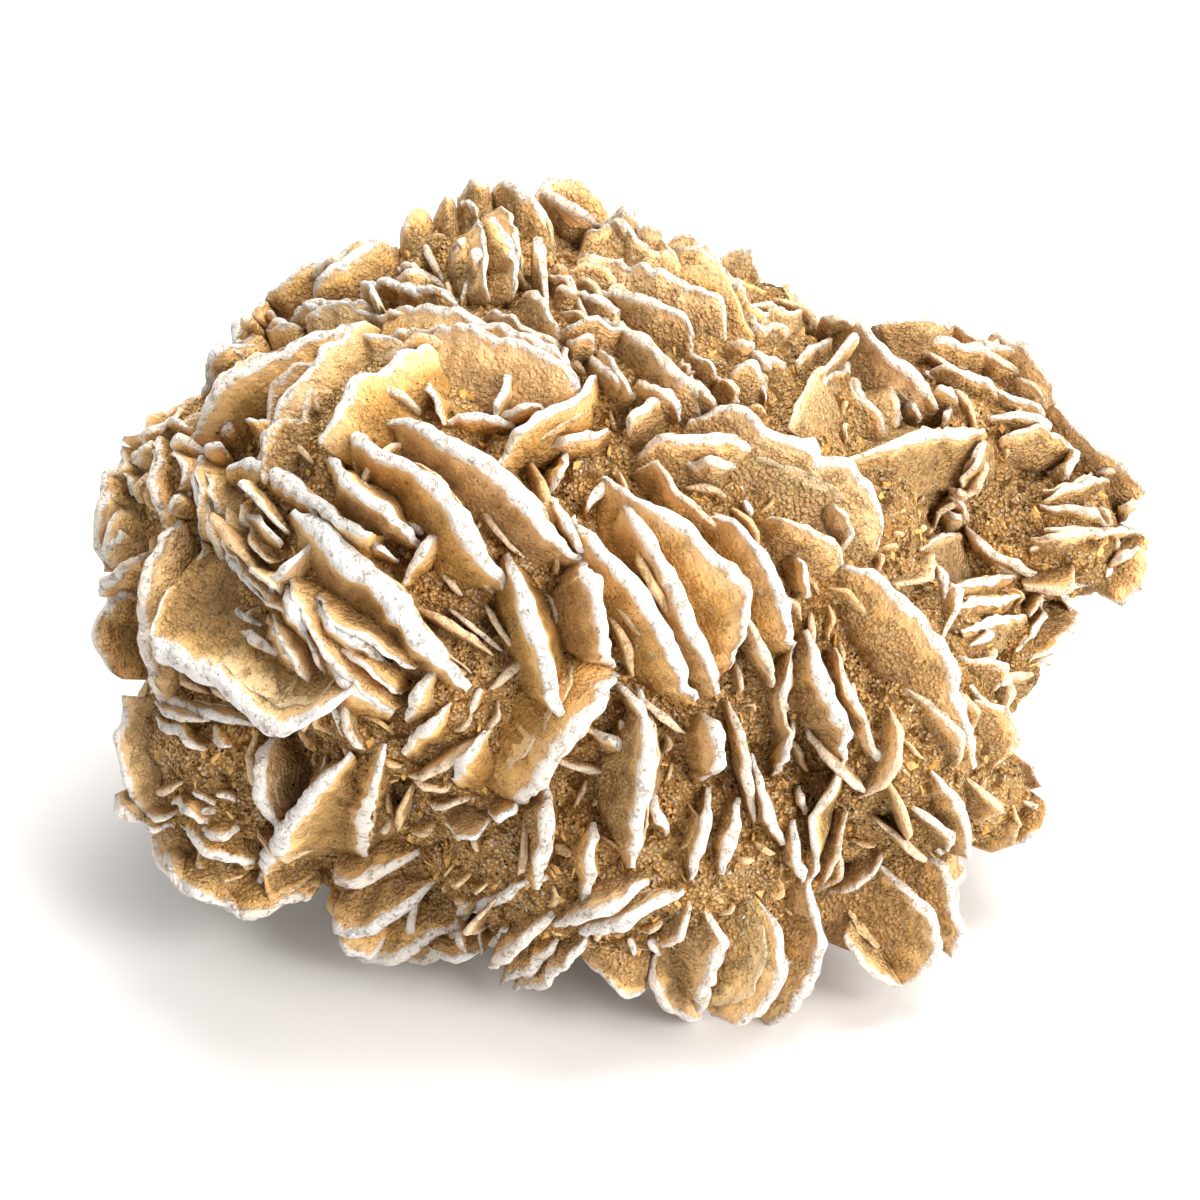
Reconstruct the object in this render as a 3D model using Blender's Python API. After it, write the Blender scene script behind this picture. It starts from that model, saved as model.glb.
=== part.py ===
"""Gypsum sand rose: flat gypsum blades grown through each other out of a body of cemented sand.

The cluster is one solid. Rounded lobes make the sandy body, and every blade is a thin plate whose root is
buried in it. The blades on the front are drawn on a sheet that leans back, seen from one eye point, so that
their free rims can be laid out by hand. The blades on the back, the sides and the underside grow in stacks.

All sizes are in millimetres until the mesh is made. X runs along the longest side, +Z is up, and the origin
is under the middle of the cluster, on the surface that it rests on.
"""

import math
import random

import bmesh
import bpy
from mathutils import Vector, kdtree

METRES = 0.001

# The front sheet: a square whose x runs right and y runs down, in millimetres. It leans back, and lines from
# one eye point in front of it give every place behind it.
SHEET_SIDE = 120.0
SHEET_LEAN = math.radians(33.0)
SHEET_MIDDLE = Vector((-3.4, -6.6, 35.8))
EYE_DISTANCE = 520.0
SHEET_RIGHT = Vector((1.0, 0.0, 0.0))
SHEET_UP = Vector((0.0, math.sin(SHEET_LEAN), math.cos(SHEET_LEAN)))
SHEET_AWAY = Vector((0.0, math.cos(SHEET_LEAN), -math.sin(SHEET_LEAN)))
EYE = SHEET_MIDDLE - SHEET_AWAY * EYE_DISTANCE

BODY_HEART = SHEET_MIDDLE + Vector((-3.0, 6.0, -2.0))  # inside every large lobe; the stacks grow away from it
ROOT_DEPTH = 3.5  # how far a blade's root goes on under the sand
RIM_SET = 0.5  # how far a rim's ends stay clear of the sand
BULGE = 0.6  # the power that rounds a rim's rise from its ends
MOST_TRIANGLES = 9600
REST_PLANE = 0.0  # the lowest tips are worn flat here
TOUCH = 0.01  # points nearer than this are parted
PARTING = 0.06  # by drawing each this share of the way towards its neighbours

# Lobes of the sandy body, on the sheet: x, y, distance behind the sheet, then the half sizes
# along the sheet's x, along its y and away from it.
FRONT_LOBES = (
    (43, 57, -16, 19, 21, 14),
    (22, 51, 4, 9, 12, 13),
    (25, 73, 0, 11, 13, 13),
    (50, 33, 10, 14, 12, 16),
    (68, 40, 6, 15, 12, 16),
    (88, 45, 18, 16, 11, 15),
    (102, 53, 20, 11, 8, 11),
    (86, 71, 2, 14, 17, 17),
    (63, 82, -3, 22, 14, 16),
    (97, 78.3, 12, 6.5, 6.2, 9),
    (37, 35, 12, 11, 9, 13),
    (72.5, 36, 12, 9.5, 8.8, 12),
    (99.5, 64.5, 14, 4.5, 8, 8),
    (41, 85, 6, 9, 8, 10),
    (26, 82, 4, 8, 6.5, 9),
)
# Lobes given upright: the middle from the sheet's middle, then the half sizes along X, Y and Z.
UPRIGHT_LOBES = (
    (-4, 6, -1, 38, 32, 32),
    (2, 20, -14.5, 34, 22, 18.5),
)

# Blades drawn on the sheet. Each row: thickness, how far the middle of the rim stands out of the body, the
# share of that at its ends, the step (x, y) from the rim's chord to the root, then the rim's points x, y.
MAIN_ROSETTE = (
    (1.3, 7, 0.1, -0.5, 1.0, 23.0, 46.6, 26.2, 47.0, 28.5, 48.5, 31.0, 50.0, 34.0, 52.0, 37.0, 53.4),
    (2.3, 8, 0.1, -0.5, 1.0, 29.4, 50.9, 32.5, 53.2, 34.8, 56.3, 37.8, 58.3, 40.9, 62.1, 43.7, 65.5, 47.0, 68.7),
    (1.3, 8, 0.1, -0.5, 1.0, 33.0, 45.6, 36.0, 49.0, 38.6, 51.0, 42.0, 54.5),
    (1.8, 9, 0.1, -1.0, 1.2, 34.5, 42.1, 37.2, 44.8, 41.2, 46.9, 44.0, 49.0, 46.0, 51.5, 48.0, 54.7, 51.0, 59.2),
    (1.8, 9, 0.1, -1.5, 1.5, 38.5, 41.8, 43.8, 43.4, 46.9, 45.0, 50.2, 47.8, 53.3, 50.8, 56.0, 53.8, 58.5, 56.2),
    (1.6, 9, 0.1, -2.5, 0.5, 58.0, 55.8, 59.7, 59.0, 60.3, 63.0, 61.3, 66.8),
    (2.0, 8, 0.1, -5.0, -4.0, 61.7, 67.4, 59.9, 71.0, 57.6, 73.8, 55.8, 76.3, 53.8, 78.9, 51.5, 80.7),
    (1.5, 8, 0.1, -1.0, 0.3, 50.8, 55.3, 51.5, 57.5, 53.5, 63.3, 54.8, 67.4, 56.3, 71.5, 57.0, 73.4),
    (1.0, 6, 0.1, -0.8, 0.6, 54.8, 49.5, 56.2, 50.5, 58.0, 54.0, 58.6, 55.6),
    (1.5, 7, 0.1, -2.5, 1.5, 57.5, 51.5, 59.5, 53.5, 62.0, 56.5, 64.5, 60.2, 66.5, 63.2, 68.2, 66.2, 69.7, 70.0),
    (1.4, 7, 0.1, -2.0, 1.0, 61.5, 49.4, 64.0, 52.0, 66.0, 55.5, 67.5, 59.0, 69.5, 63.0, 71.5, 67.0, 71.8, 69.4),
    (1.4, 6, 0.1, -2.0, 0.0, 70.5, 71.3, 72.2, 73.0, 72.3, 76.0, 70.6, 78.0),
    (1.3, 7, 0.1, -2.5, 1.5, 60.1, 47.8, 64.5, 50.0, 68.0, 52.0, 72.0, 56.0, 75.0, 58.5, 75.0, 62.0, 72.8, 67.0),
    (1.2, 7, 0.1, -3.0, 2.0, 70.7, 51.6, 73.5, 52.4, 75.7, 54.5, 77.8, 58.5, 79.0, 62.5, 79.7, 65.0),
    (0.9, 4, 0.1, 1.5, 1.0, 39.8, 58.3, 42.5, 54.5, 44.0, 53.0),
    (0.9, 4, 0.1, 1.5, 1.5, 26.2, 59.7, 29.0, 56.0, 31.8, 54.1),
    (1.2, 5, 0.1, -1.0, 1.5, 31.3, 59.8, 33.0, 62.0, 35.5, 64.0, 39.0, 66.5),
    (1.1, 5, 0.1, -1.0, 1.5, 31.3, 64.5, 35.0, 68.5, 39.2, 71.5),
    (1.1, 5, 0.1, -1.0, 1.0, 28.5, 58.5, 29.3, 61.5, 32.0, 65.0),
    (1.0, 5, 0.1, -1.0, 1.0, 27.5, 62.0, 28.0, 64.0, 30.5, 67.5),
    (1.1, 4, 0.1, 1.0, 1.0, 43.3, 66.9, 41.8, 69.2, 40.5, 72.0),
    (1.2, 5, 0.1, 1.0, 1.0, 45.0, 70.2, 42.8, 72.5, 40.2, 75.3),
    (1.1, 4, 0.1, 1.0, 1.0, 48.2, 68.9, 45.5, 72.7),
    (1.4, 6, 0.1, 1.0, 1.5, 48.5, 73.0, 47.0, 75.3, 45.2, 77.9),
    (0.8, 3, 0.1, -0.5, 1.0, 36.5, 53.5, 38.0, 54.5, 40.0, 56.0),
)
BOWL = (
    (1.5, 6, 0.1, 4.0, 3.0, 19.0, 44.0, 20.5, 40.5, 23.5, 36.8, 28.5, 34.6, 31.5, 33.5, 36.0, 32.0),
    (1.5, 8, 0.1, 4.0, 2.5, 25.8, 46.0, 26.4, 44.0, 28.5, 39.5, 31.0, 36.2, 35.0, 33.2),
    (1.3, 8, 0.1, 4.0, 3.0, 32.1, 44.5, 33.5, 40.5, 36.0, 37.7, 39.5, 35.7, 44.0, 33.5),
    (1.3, 7, 0.1, 0.5, 4.0, 38.5, 31.3, 44.0, 30.3, 48.0, 31.6, 52.0, 32.8, 56.0, 35.2, 58.0, 38.5),
    (1.2, 7, 0.1, -0.5, 4.0, 43.5, 32.4, 46.0, 32.0, 50.0, 33.4, 54.0, 34.8, 56.5, 36.5, 57.8, 40.0),
    (0.9, 5, 0.1, 0.0, 3.0, 36.0, 33.9, 38.0, 33.5, 42.0, 34.5),
    (0.8, 4, 0.1, 0.0, 3.0, 50.0, 33.7, 51.5, 35.1, 53.0, 36.2),
    (1.0, 7, 0.1, 2.0, 1.8, 59.7, 37.4, 56.5, 40.3, 53.0, 42.3, 49.5, 46.2),
    (0.8, 4, 0.1, 0.5, 2.0, 54.0, 44.5, 57.5, 43.8, 60.9, 43.0),
    (0.8, 4, 0.1, -1.5, 0.5, 56.8, 45.0, 56.3, 47.5, 55.0, 49.5),
    (0.8, 4, 0.1, 1.0, 0.8, 42.8, 38.3, 43.6, 40.5, 44.4, 42.4),
    (0.8, 4, 0.1, 1.5, 0.5, 50.7, 36.2, 50.0, 39.5, 49.2, 41.8),
    (0.8, 4, 0.1, 0.0, 2.0, 50.0, 41.8, 52.0, 40.5, 55.5, 41.2),
    (0.8, 3, 0.1, 0.0, 2.0, 44.5, 41.9, 47.8, 41.6, 51.5, 42.7),
)
UPPER_LEFT = (
    (1.0, 4, 0.1, 1.5, 3.0, 26.8, 30.0, 28.5, 28.0, 32.0, 26.2),
    (1.1, 5, 0.1, 1.0, 4.0, 31.3, 29.3, 32.0, 27.8, 34.0, 25.8, 37.0, 24.1, 39.5, 25.0),
    (0.9, 5, 0.1, 1.0, 3.0, 29.0, 31.8, 31.8, 29.6, 35.5, 30.0),
    (0.9, 4, 0.1, 0.5, 3.0, 26.2, 34.5, 28.5, 32.3, 30.0, 34.5),
    (1.0, 5, 0.1, 3.0, 2.5, 20.0, 39.5, 21.2, 35.0, 25.0, 34.2),
    (1.0, 4, 0.1, 0.5, 2.5, 36.5, 28.2, 38.5, 28.0, 41.5, 28.8, 45.5, 30.0),
)
LEFT_LOBE = (
    (1.0, 4, 0.1, 4.0, 1.0, 12.0, 44.5, 9.9, 48.5, 9.3, 52.0, 10.4, 57.2),
    (1.0, 4, 0.1, 3.0, 2.5, 12.3, 46.5, 12.8, 45.0, 15.0, 43.0, 18.0, 40.7),
    (1.0, 4, 0.1, 3.0, 1.0, 15.8, 43.8, 15.0, 47.0, 15.5, 49.5, 16.8, 53.0),
    (0.9, 4, 0.1, 2.5, 1.0, 20.0, 45.5, 19.6, 48.0, 20.0, 51.0, 20.6, 55.0),
    (0.9, 4, 0.1, 3.0, 1.5, 10.5, 54.5, 11.5, 51.5, 12.5, 50.0),
    (0.9, 4, 0.1, 2.5, 1.5, 10.7, 56.5, 12.0, 53.3, 13.2, 52.8),
    (1.0, 4, 0.1, 2.0, 2.5, 17.0, 44.9, 18.0, 44.0, 20.5, 45.2),
    (1.0, 4, 0.1, 2.0, 1.0, 22.2, 52.5, 22.0, 54.5, 24.0, 57.5, 26.0, 60.0),
    (1.0, 4, 0.1, -0.5, 1.5, 24.7, 51.4, 26.5, 52.6, 28.3, 54.4),
    (1.1, 4, 0.1, 3.0, 2.0, 10.0, 59.5, 11.0, 57.5, 15.0, 55.3),
    (1.1, 4, 0.1, 4.0, 2.5, 9.3, 63.5, 10.4, 60.5, 14.0, 58.3),
)
LEFT_ROSETTE = (
    (1.3, 6, 0.1, 4.0, 2.0, 18.0, 52.0, 15.5, 54.6, 13.9, 58.5, 13.5, 62.5, 14.8, 67.5, 16.0, 70.5),
    (2.2, 9, 0.6, 2.5, -2.5, 18.2, 57.8, 16.4, 60.4, 15.1, 64.2, 20.7, 68.2, 28.9, 73.3, 32.0, 71.3, 35.2, 69.0),
    (1.0, 4, 0.1, 1.0, -2.0, 15.0, 69.2, 18.0, 70.7, 22.0, 71.9, 25.5, 72.9),
    (0.9, 4, 0.1, -1.0, 1.0, 19.8, 57.8, 21.0, 59.8, 22.6, 61.6),
    (0.9, 4, 0.1, -1.0, 1.0, 22.5, 59.3, 24.0, 61.2, 26.3, 62.4),
    (0.9, 4, 0.1, -1.0, 1.0, 24.2, 62.6, 26.0, 64.2, 28.2, 65.7),
)
BOTTOM_LEFT = (
    (1.2, 4, 0.1, 5.0, 0.5, 12.2, 69.5, 11.6, 73.3, 12.1, 77.6, 14.1, 81.2),
    (1.0, 3, 0.1, 2.5, -1.0, 11.2, 79.7, 12.0, 81.3, 14.0, 82.4),
    (1.1, 4, 0.1, 1.0, -3.0, 18.4, 82.9, 19.3, 85.0, 22.5, 86.0, 25.4, 86.4),
    (1.0, 4, 0.1, 0.5, -2.0, 17.3, 80.0, 19.0, 81.6, 20.8, 82.3),
    (1.0, 4, 0.1, 0.5, -2.5, 20.0, 83.3, 21.8, 83.9, 23.8, 83.5),
    (1.8, 7, 0.1, 2.0, 2.0, 35.0, 75.1, 32.0, 78.7, 29.4, 81.5, 26.9, 85.0, 25.5, 88.4),
    (1.5, 6, 0.1, 3.5, 0.5, 27.0, 73.4, 25.6, 77.4, 25.9, 80.2, 27.3, 82.6),
    (1.5, 6, 0.1, -1.5, 1.0, 38.5, 74.4, 37.4, 78.5, 36.4, 82.0, 36.2, 86.0),
    (1.2, 3, 0.1, 2.5, -4.0, 22.0, 90.6, 24.8, 91.7, 27.5, 91.3, 31.0, 90.0),
    (1.0, 3, 0.1, 3.0, -3.0, 17.2, 87.5, 19.2, 89.3, 22.0, 90.5),
    (1.6, 3, 0.1, 0.0, -4.0, 34.0, 92.0, 34.4, 95.4, 37.0, 95.9, 39.6, 93.0),
    (1.3, 3, 0.1, 0.0, -4.0, 38.5, 94.0, 40.5, 95.7, 42.5, 93.5),
    (1.2, 3, 0.1, 0.0, -3.0, 43.0, 95.0, 44.9, 96.2, 48.2, 95.3),
)
LOWER_MIDDLE = (
    (1.4, 5, 0.1, -1.0, 0.0, 54.6, 78.4, 54.6, 82.0, 54.3, 85.5, 53.8, 89.0),
    (1.3, 5, 0.1, -1.0, 0.0, 59.5, 82.2, 59.2, 85.0, 58.4, 90.2),
    (1.6, 6, 0.1, -1.5, 0.0, 63.8, 68.9, 64.8, 74.3, 64.8, 77.8, 64.2, 82.0, 63.6, 86.8),
    (1.1, 4, 0.1, -0.8, 0.5, 65.0, 78.9, 66.0, 81.5, 66.7, 83.4),
    (0.9, 3, 0.1, 0.5, 1.5, 58.9, 73.0, 61.0, 74.3, 63.2, 75.6),
    (1.3, 4, 0.1, -1.0, 0.0, 71.0, 78.7, 70.2, 83.5, 69.0, 88.0),
    (1.3, 4, 0.1, -1.2, 0.0, 73.7, 79.7, 73.2, 84.0, 72.3, 87.5),
    (1.2, 4, 0.1, -1.0, 0.5, 75.2, 75.3, 76.5, 79.9, 78.3, 84.5),
    (1.1, 4, 0.1, -1.0, 0.3, 79.2, 82.0, 79.8, 85.0, 80.2, 88.3),
    (0.9, 4, 0.1, -1.0, 0.3, 79.7, 65.0, 78.6, 68.5, 78.2, 71.5),
    (0.9, 4, 0.1, -1.0, 0.3, 79.2, 72.0, 79.0, 74.5, 77.7, 77.6),
    (1.3, 5, 0.1, 0.5, -3.0, 54.5, 88.0, 51.0, 89.6, 47.5, 91.3, 44.0, 92.6),
    (1.3, 5, 0.1, 0.5, -3.0, 65.0, 88.5, 61.5, 90.8, 58.0, 92.0, 55.3, 92.6),
    (1.3, 5, 0.1, 0.5, -2.5, 68.3, 89.6, 64.2, 91.9, 61.0, 92.9, 57.8, 93.5),
    (1.4, 4, 0.1, 0.5, -3.0, 55.0, 91.6, 52.0, 94.4, 48.8, 96.7),
    (1.2, 3, 0.1, 1.0, -3.0, 55.6, 94.2, 53.3, 97.0, 50.2, 98.4),
    (1.0, 3, 0.1, 1.0, -3.0, 58.8, 93.8, 57.0, 96.0, 54.5, 98.6, 51.5, 99.0),
    (1.1, 3, 0.1, 1.0, -4.0, 58.3, 95.9, 60.7, 98.4, 63.0, 99.8, 65.0, 98.5),
    (1.6, 4, 0.1, -2.0, -3.0, 71.0, 91.5, 72.2, 94.5, 71.5, 97.5, 70.1, 101.7),
    (1.2, 3, 0.1, 1.5, -4.0, 65.2, 95.8, 65.3, 99.1, 67.5, 101.5, 70.0, 102.0),
    (1.3, 4, 0.1, -2.5, -3.0, 76.3, 90.5, 78.2, 93.1, 78.2, 97.9, 76.8, 100.7, 74.3, 102.5, 71.4, 101.6),
    (1.4, 4, 0.1, -2.0, -2.0, 81.1, 88.7, 81.9, 91.6, 81.2, 98.4, 79.8, 101.0, 76.8, 102.8),
)
LOWER_RIGHT = (
    (1.5, 6, 0.1, -3.0, 2.0, 84.4, 56.5, 87.7, 57.4, 90.2, 59.7, 93.3, 63.0, 95.3, 66.6, 96.8, 71.0, 97.9, 76.5),
    (1.2, 5, 0.1, -2.0, 1.0, 95.3, 65.8, 97.6, 68.6, 99.5, 71.5, 100.3, 74.0),
    (1.5, 6, 0.1, -2.0, 0.5, 80.6, 63.0, 81.8, 65.8, 83.2, 69.8, 84.5, 73.5, 84.7, 76.0),
    (1.5, 6, 0.1, -2.0, 0.5, 84.9, 68.6, 85.9, 71.4, 87.5, 75.0, 90.5, 77.7, 92.3, 80.0, 94.0, 83.0, 94.3, 85.5),
    (1.1, 5, 0.1, -2.0, 1.0, 93.3, 77.0, 95.9, 80.1, 97.0, 83.0, 97.0, 85.9),
    (1.4, 4, 0.1, -3.5, -1.0, 88.0, 86.6, 90.8, 89.2, 93.3, 91.6, 94.0, 95.0, 92.5, 97.3, 90.3, 98.9),
    (1.0, 3, 0.1, 2.5, -3.0, 84.4, 93.6, 86.2, 96.2, 88.5, 98.3, 90.5, 98.9),
    (1.2, 4, 0.1, -3.0, -1.0, 91.8, 86.1, 94.2, 86.5, 95.8, 90.0, 96.3, 93.0, 95.3, 95.8),
    (1.0, 4, 0.1, -1.5, 2.0, 79.0, 52.0, 82.0, 53.2, 84.3, 55.5, 84.4, 56.3),
    (1.0, 4, 0.1, -1.0, 0.5, 79.7, 55.5, 80.5, 57.5, 80.8, 59.8),
)
TOP_FAN = (
    (1.4, 4, 0.1, 1.0, 4.0, 39.9, 25.0, 40.3, 22.5, 41.8, 20.6, 43.5, 22.5),
    (1.3, 4, 0.1, 0.5, 4.0, 43.3, 22.0, 44.8, 19.2, 46.0, 21.5),
    (1.4, 5, 0.1, 0.0, 4.0, 45.7, 19.5, 47.8, 17.8, 49.5, 19.5),
    (1.5, 5, 0.1, 1.0, 2.0, 50.5, 21.0, 51.0, 24.0, 51.2, 27.0, 50.4, 30.0),
    (1.3, 4, 0.1, 0.5, 3.5, 49.3, 19.0, 50.5, 18.0, 53.5, 20.0, 55.5, 23.5),
    (1.3, 4, 0.1, 0.0, 3.5, 53.7, 20.0, 54.7, 19.0, 58.0, 21.2, 60.0, 22.2),
    (1.2, 4, 0.1, 0.0, 3.5, 60.0, 22.2, 62.8, 21.0, 64.0, 22.5),
    (1.0, 5, 0.1, 0.5, 3.0, 45.2, 25.5, 46.0, 24.0, 47.5, 26.2),
    (1.0, 5, 0.1, 0.0, 3.0, 46.8, 27.0, 47.8, 25.0, 48.8, 28.5),
    (0.9, 4, 0.1, 1.0, 1.5, 39.8, 26.8, 42.0, 27.0, 44.0, 28.5),
)
TOP_RIGHT = (
    (1.1, 4, 0.1, 0.0, 3.5, 60.0, 22.3, 62.0, 22.2, 65.0, 24.5),
    (1.1, 4, 0.1, -0.5, 3.5, 64.0, 26.0, 66.5, 25.2, 68.2, 27.5),
    (1.1, 4, 0.1, -0.5, 3.5, 68.0, 25.5, 70.0, 24.8, 72.2, 26.2, 74.2, 29.0),
    (1.2, 5, 0.1, -0.5, 3.5, 60.0, 26.2, 64.0, 26.2, 68.5, 28.0, 72.0, 30.0, 72.8, 33.0),
    (1.1, 5, 0.1, -0.5, 3.0, 60.0, 29.2, 63.0, 29.2, 68.0, 31.5, 69.5, 34.5),
    (1.1, 5, 0.1, -1.0, 3.5, 60.0, 31.6, 64.0, 33.5, 66.5, 36.0, 69.0, 38.0, 70.0, 41.2),
    (1.0, 4, 0.1, -1.0, 3.0, 59.0, 35.2, 62.0, 38.0, 63.0, 39.5),
    (1.0, 4, 0.1, -1.0, 2.5, 68.5, 37.2, 70.0, 39.0, 71.2, 40.8),
    (1.0, 4, 0.1, -0.5, 3.0, 72.2, 29.7, 74.0, 28.0, 74.5, 30.0),
    (1.0, 4, 0.1, -0.5, 3.0, 74.5, 32.0, 76.0, 31.5, 78.5, 33.5),
    (1.0, 4, 0.1, 0.0, 3.0, 76.0, 31.0, 78.5, 30.8, 80.5, 32.2),
    (1.0, 4, 0.1, -0.5, 2.5, 74.0, 34.5, 76.5, 36.0, 78.5, 36.5),
    (1.3, 6, 0.1, -2.0, 3.5, 69.0, 41.8, 74.0, 40.5, 77.5, 43.0, 83.0, 45.0, 86.5, 47.5, 88.5, 51.5, 88.0, 54.5),
    (1.1, 5, 0.1, -1.5, 3.0, 64.0, 45.5, 66.0, 44.0, 72.0, 43.6, 77.5, 45.5),
    (0.9, 4, 0.1, -0.5, 2.5, 68.0, 46.0, 71.0, 45.8, 74.0, 46.2),
    (0.9, 4, 0.1, -1.5, 2.0, 83.3, 49.9, 84.8, 51.5, 85.2, 53.0, 84.5, 54.8),
)
RIGHT_UPPER = (
    (1.1, 5, 0.1, -2.0, 3.0, 84.5, 31.8, 86.2, 32.2, 87.8, 34.0, 90.5, 36.5, 92.0, 38.0, 93.8, 41.0),
    (1.0, 4, 0.1, 2.5, 2.0, 79.0, 43.0, 80.0, 40.0, 82.5, 37.0, 86.2, 34.8),
    (0.9, 4, 0.1, -1.5, 1.5, 85.0, 37.5, 87.0, 40.3, 88.5, 43.0),
    (0.9, 4, 0.1, -1.5, 1.5, 88.8, 38.0, 90.3, 42.0),
    (1.0, 4, 0.1, 0.5, 3.0, 88.0, 32.5, 91.0, 31.5, 96.0, 32.5),
    (1.0, 4, 0.1, 0.0, 3.0, 90.5, 35.0, 93.5, 33.7, 96.5, 34.5, 101.0, 33.5),
    (0.9, 4, 0.1, 0.0, 2.5, 92.5, 35.5, 96.0, 37.0, 98.5, 37.8, 101.0, 40.0),
    (1.0, 4, 0.1, -1.5, 3.0, 99.0, 33.5, 101.0, 33.6, 104.5, 37.0, 106.0, 40.0),
)
RIGHT_LOBE = (
    (1.3, 5, 0.1, 0.5, 2.0, 85.0, 46.0, 88.0, 44.8, 94.0, 43.2, 98.5, 43.0),
    (0.9, 3, 0.1, 1.0, 1.5, 98.5, 44.0, 97.5, 45.8, 96.5, 47.5),
    (1.0, 3, 0.1, -1.0, 2.0, 105.5, 40.5, 109.0, 43.0, 113.0, 46.5, 115.0, 49.0),
    (0.9, 3, 0.1, 0.0, 1.5, 104.0, 50.5, 109.0, 51.0, 111.0, 52.0),
    (1.0, 3, 0.1, 0.0, 1.5, 104.5, 53.3, 110.0, 53.0, 114.5, 53.0),
    (0.9, 3, 0.1, 0.0, 1.5, 103.0, 55.0, 108.5, 53.7),
    (1.0, 4, 0.1, -0.5, 1.5, 96.5, 52.5, 98.5, 54.5, 101.0, 56.0, 106.0, 59.5),
    (0.9, 3, 0.1, 0.0, 1.5, 95.0, 58.7, 101.5, 57.5),
    (0.9, 3, 0.1, 0.0, 1.5, 94.5, 60.5, 102.5, 59.7),
    (0.9, 3, 0.1, 0.0, 1.5, 96.0, 63.0, 102.5, 61.3),
    (1.0, 3, 0.1, -3.0, -1.0, 108.0, 61.5, 106.0, 64.5, 103.5, 66.3),
    (1.0, 3, 0.1, -2.5, -2.0, 115.0, 54.0, 115.0, 58.5, 112.5, 60.4),
)
FRONT_BLADES = (
    MAIN_ROSETTE
    + BOWL
    + UPPER_LEFT
    + LEFT_LOBE
    + LEFT_ROSETTE
    + BOTTOM_LEFT
    + LOWER_MIDDLE
    + LOWER_RIGHT
    + TOP_FAN
    + TOP_RIGHT
    + RIGHT_UPPER
    + RIGHT_LOBE
)

# Stacks of near-parallel blades on the sides that the sheet doesn't show. Each row: the direction round the
# heart from +X towards +Y and the direction up, both in degrees; the turn of the rims in degrees; how many
# blades; the step between them; the longest rim; and how far the rims stand out.
HIDDEN_STACKS = (
    (90, 8, 25, 8, 5.0, 24, 7),
    (62, 20, -35, 7, 4.8, 22, 6),
    (118, 18, 70, 7, 4.8, 22, 6),
    (90, 34, 5, 6, 4.6, 20, 4.5),
    (40, -6, 65, 7, 4.6, 20, 5),
    (143, 2, -20, 7, 4.6, 20, 5),
    (60, -14, 40, 7, 4.8, 20, 6),
    (120, -12, -50, 7, 4.8, 20, 6),
    (12, -22, -20, 6, 4.4, 17, 5),
    (164, -16, 35, 6, 4.4, 17, 5),
    (92, -30, 80, 6, 4.8, 18, 5),
    (196, -34, -30, 5, 4.4, 15, 4),
    (232, -44, 20, 5, 4.4, 15, 4),
    (300, -48, -10, 5, 4.4, 15, 4),
    (340, -42, 50, 5, 4.4, 15, 4),
    (30, -42, 10, 5, 4.6, 15, 4),
    (150, -42, -70, 5, 4.6, 15, 4),
    (85, -64, 15, 6, 4.6, 17, 4.5),
    (200, -66, 60, 5, 4.6, 16, 4.5),
    (325, -68, -40, 5, 4.6, 16, 4.5),
)
HIDDEN_STATIONS = 5
HIDDEN_THICKNESS = 1.5
HIDDEN_SEED = 7


def on_sheet(x, y, away):
    """The point of space that lies this far behind the sheet, on the line from the eye through x, y."""
    half = SHEET_SIDE / 2
    through = SHEET_MIDDLE + SHEET_RIGHT * (x - half) + SHEET_UP * (half - y)
    return EYE + (through - EYE) * ((EYE_DISTANCE + away) / EYE_DISTANCE)


def lobes():
    """Each lobe of the sandy body: its middle, its three axes and its three half sizes."""
    leaning = (SHEET_RIGHT, SHEET_UP, SHEET_AWAY)
    upright = (Vector((1, 0, 0)), Vector((0, 1, 0)), Vector((0, 0, 1)))
    front = [(on_sheet(x, y, away), leaning, sizes) for x, y, away, *sizes in FRONT_LOBES]
    rear = [(SHEET_MIDDLE + Vector((x, y, z)), upright, sizes) for x, y, z, *sizes in UPRIGHT_LOBES]
    return rear + front


LOBES = lobes()


def meeting(start, step, outermost):
    """Where a line meets the body, as a number of steps: its first point there or its last.

    A line that misses the body gives the place where it passes closest to a lobe.
    """
    hits = []
    nearest = (math.inf, 0.0)
    for middle, axes, sizes in LOBES:
        offset = start - middle
        p = Vector([offset.dot(axis) / size for axis, size in zip(axes, sizes)])
        q = Vector([step.dot(axis) / size for axis, size in zip(axes, sizes)])
        closest = -p.dot(q) / q.dot(q)
        gap = (p + q * closest).length
        if gap < 1:
            half = math.sqrt((1 - gap * gap) / q.dot(q))
            hits.append(closest + half if outermost else closest - half)
        elif gap < nearest[0]:
            nearest = (gap, closest)
    if not hits:
        return nearest[1]
    return max(hits) if outermost else min(hits)


def body_away(x, y):
    """How far behind the sheet the body's front lies at x, y."""
    towards = (on_sheet(x, y, 0) - EYE).normalized()
    return meeting(EYE, towards, False) * towards.dot(SHEET_AWAY) - EYE_DISTANCE


def body_point(direction):
    """The body's outermost point in this direction from its heart."""
    return BODY_HEART + direction * meeting(BODY_HEART, direction, True)


def swell(share, power):
    """0 at both ends of a rim and 1 in its middle."""
    return math.sin(math.pi * share) ** power if 0 < share < 1 else 0.0


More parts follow.
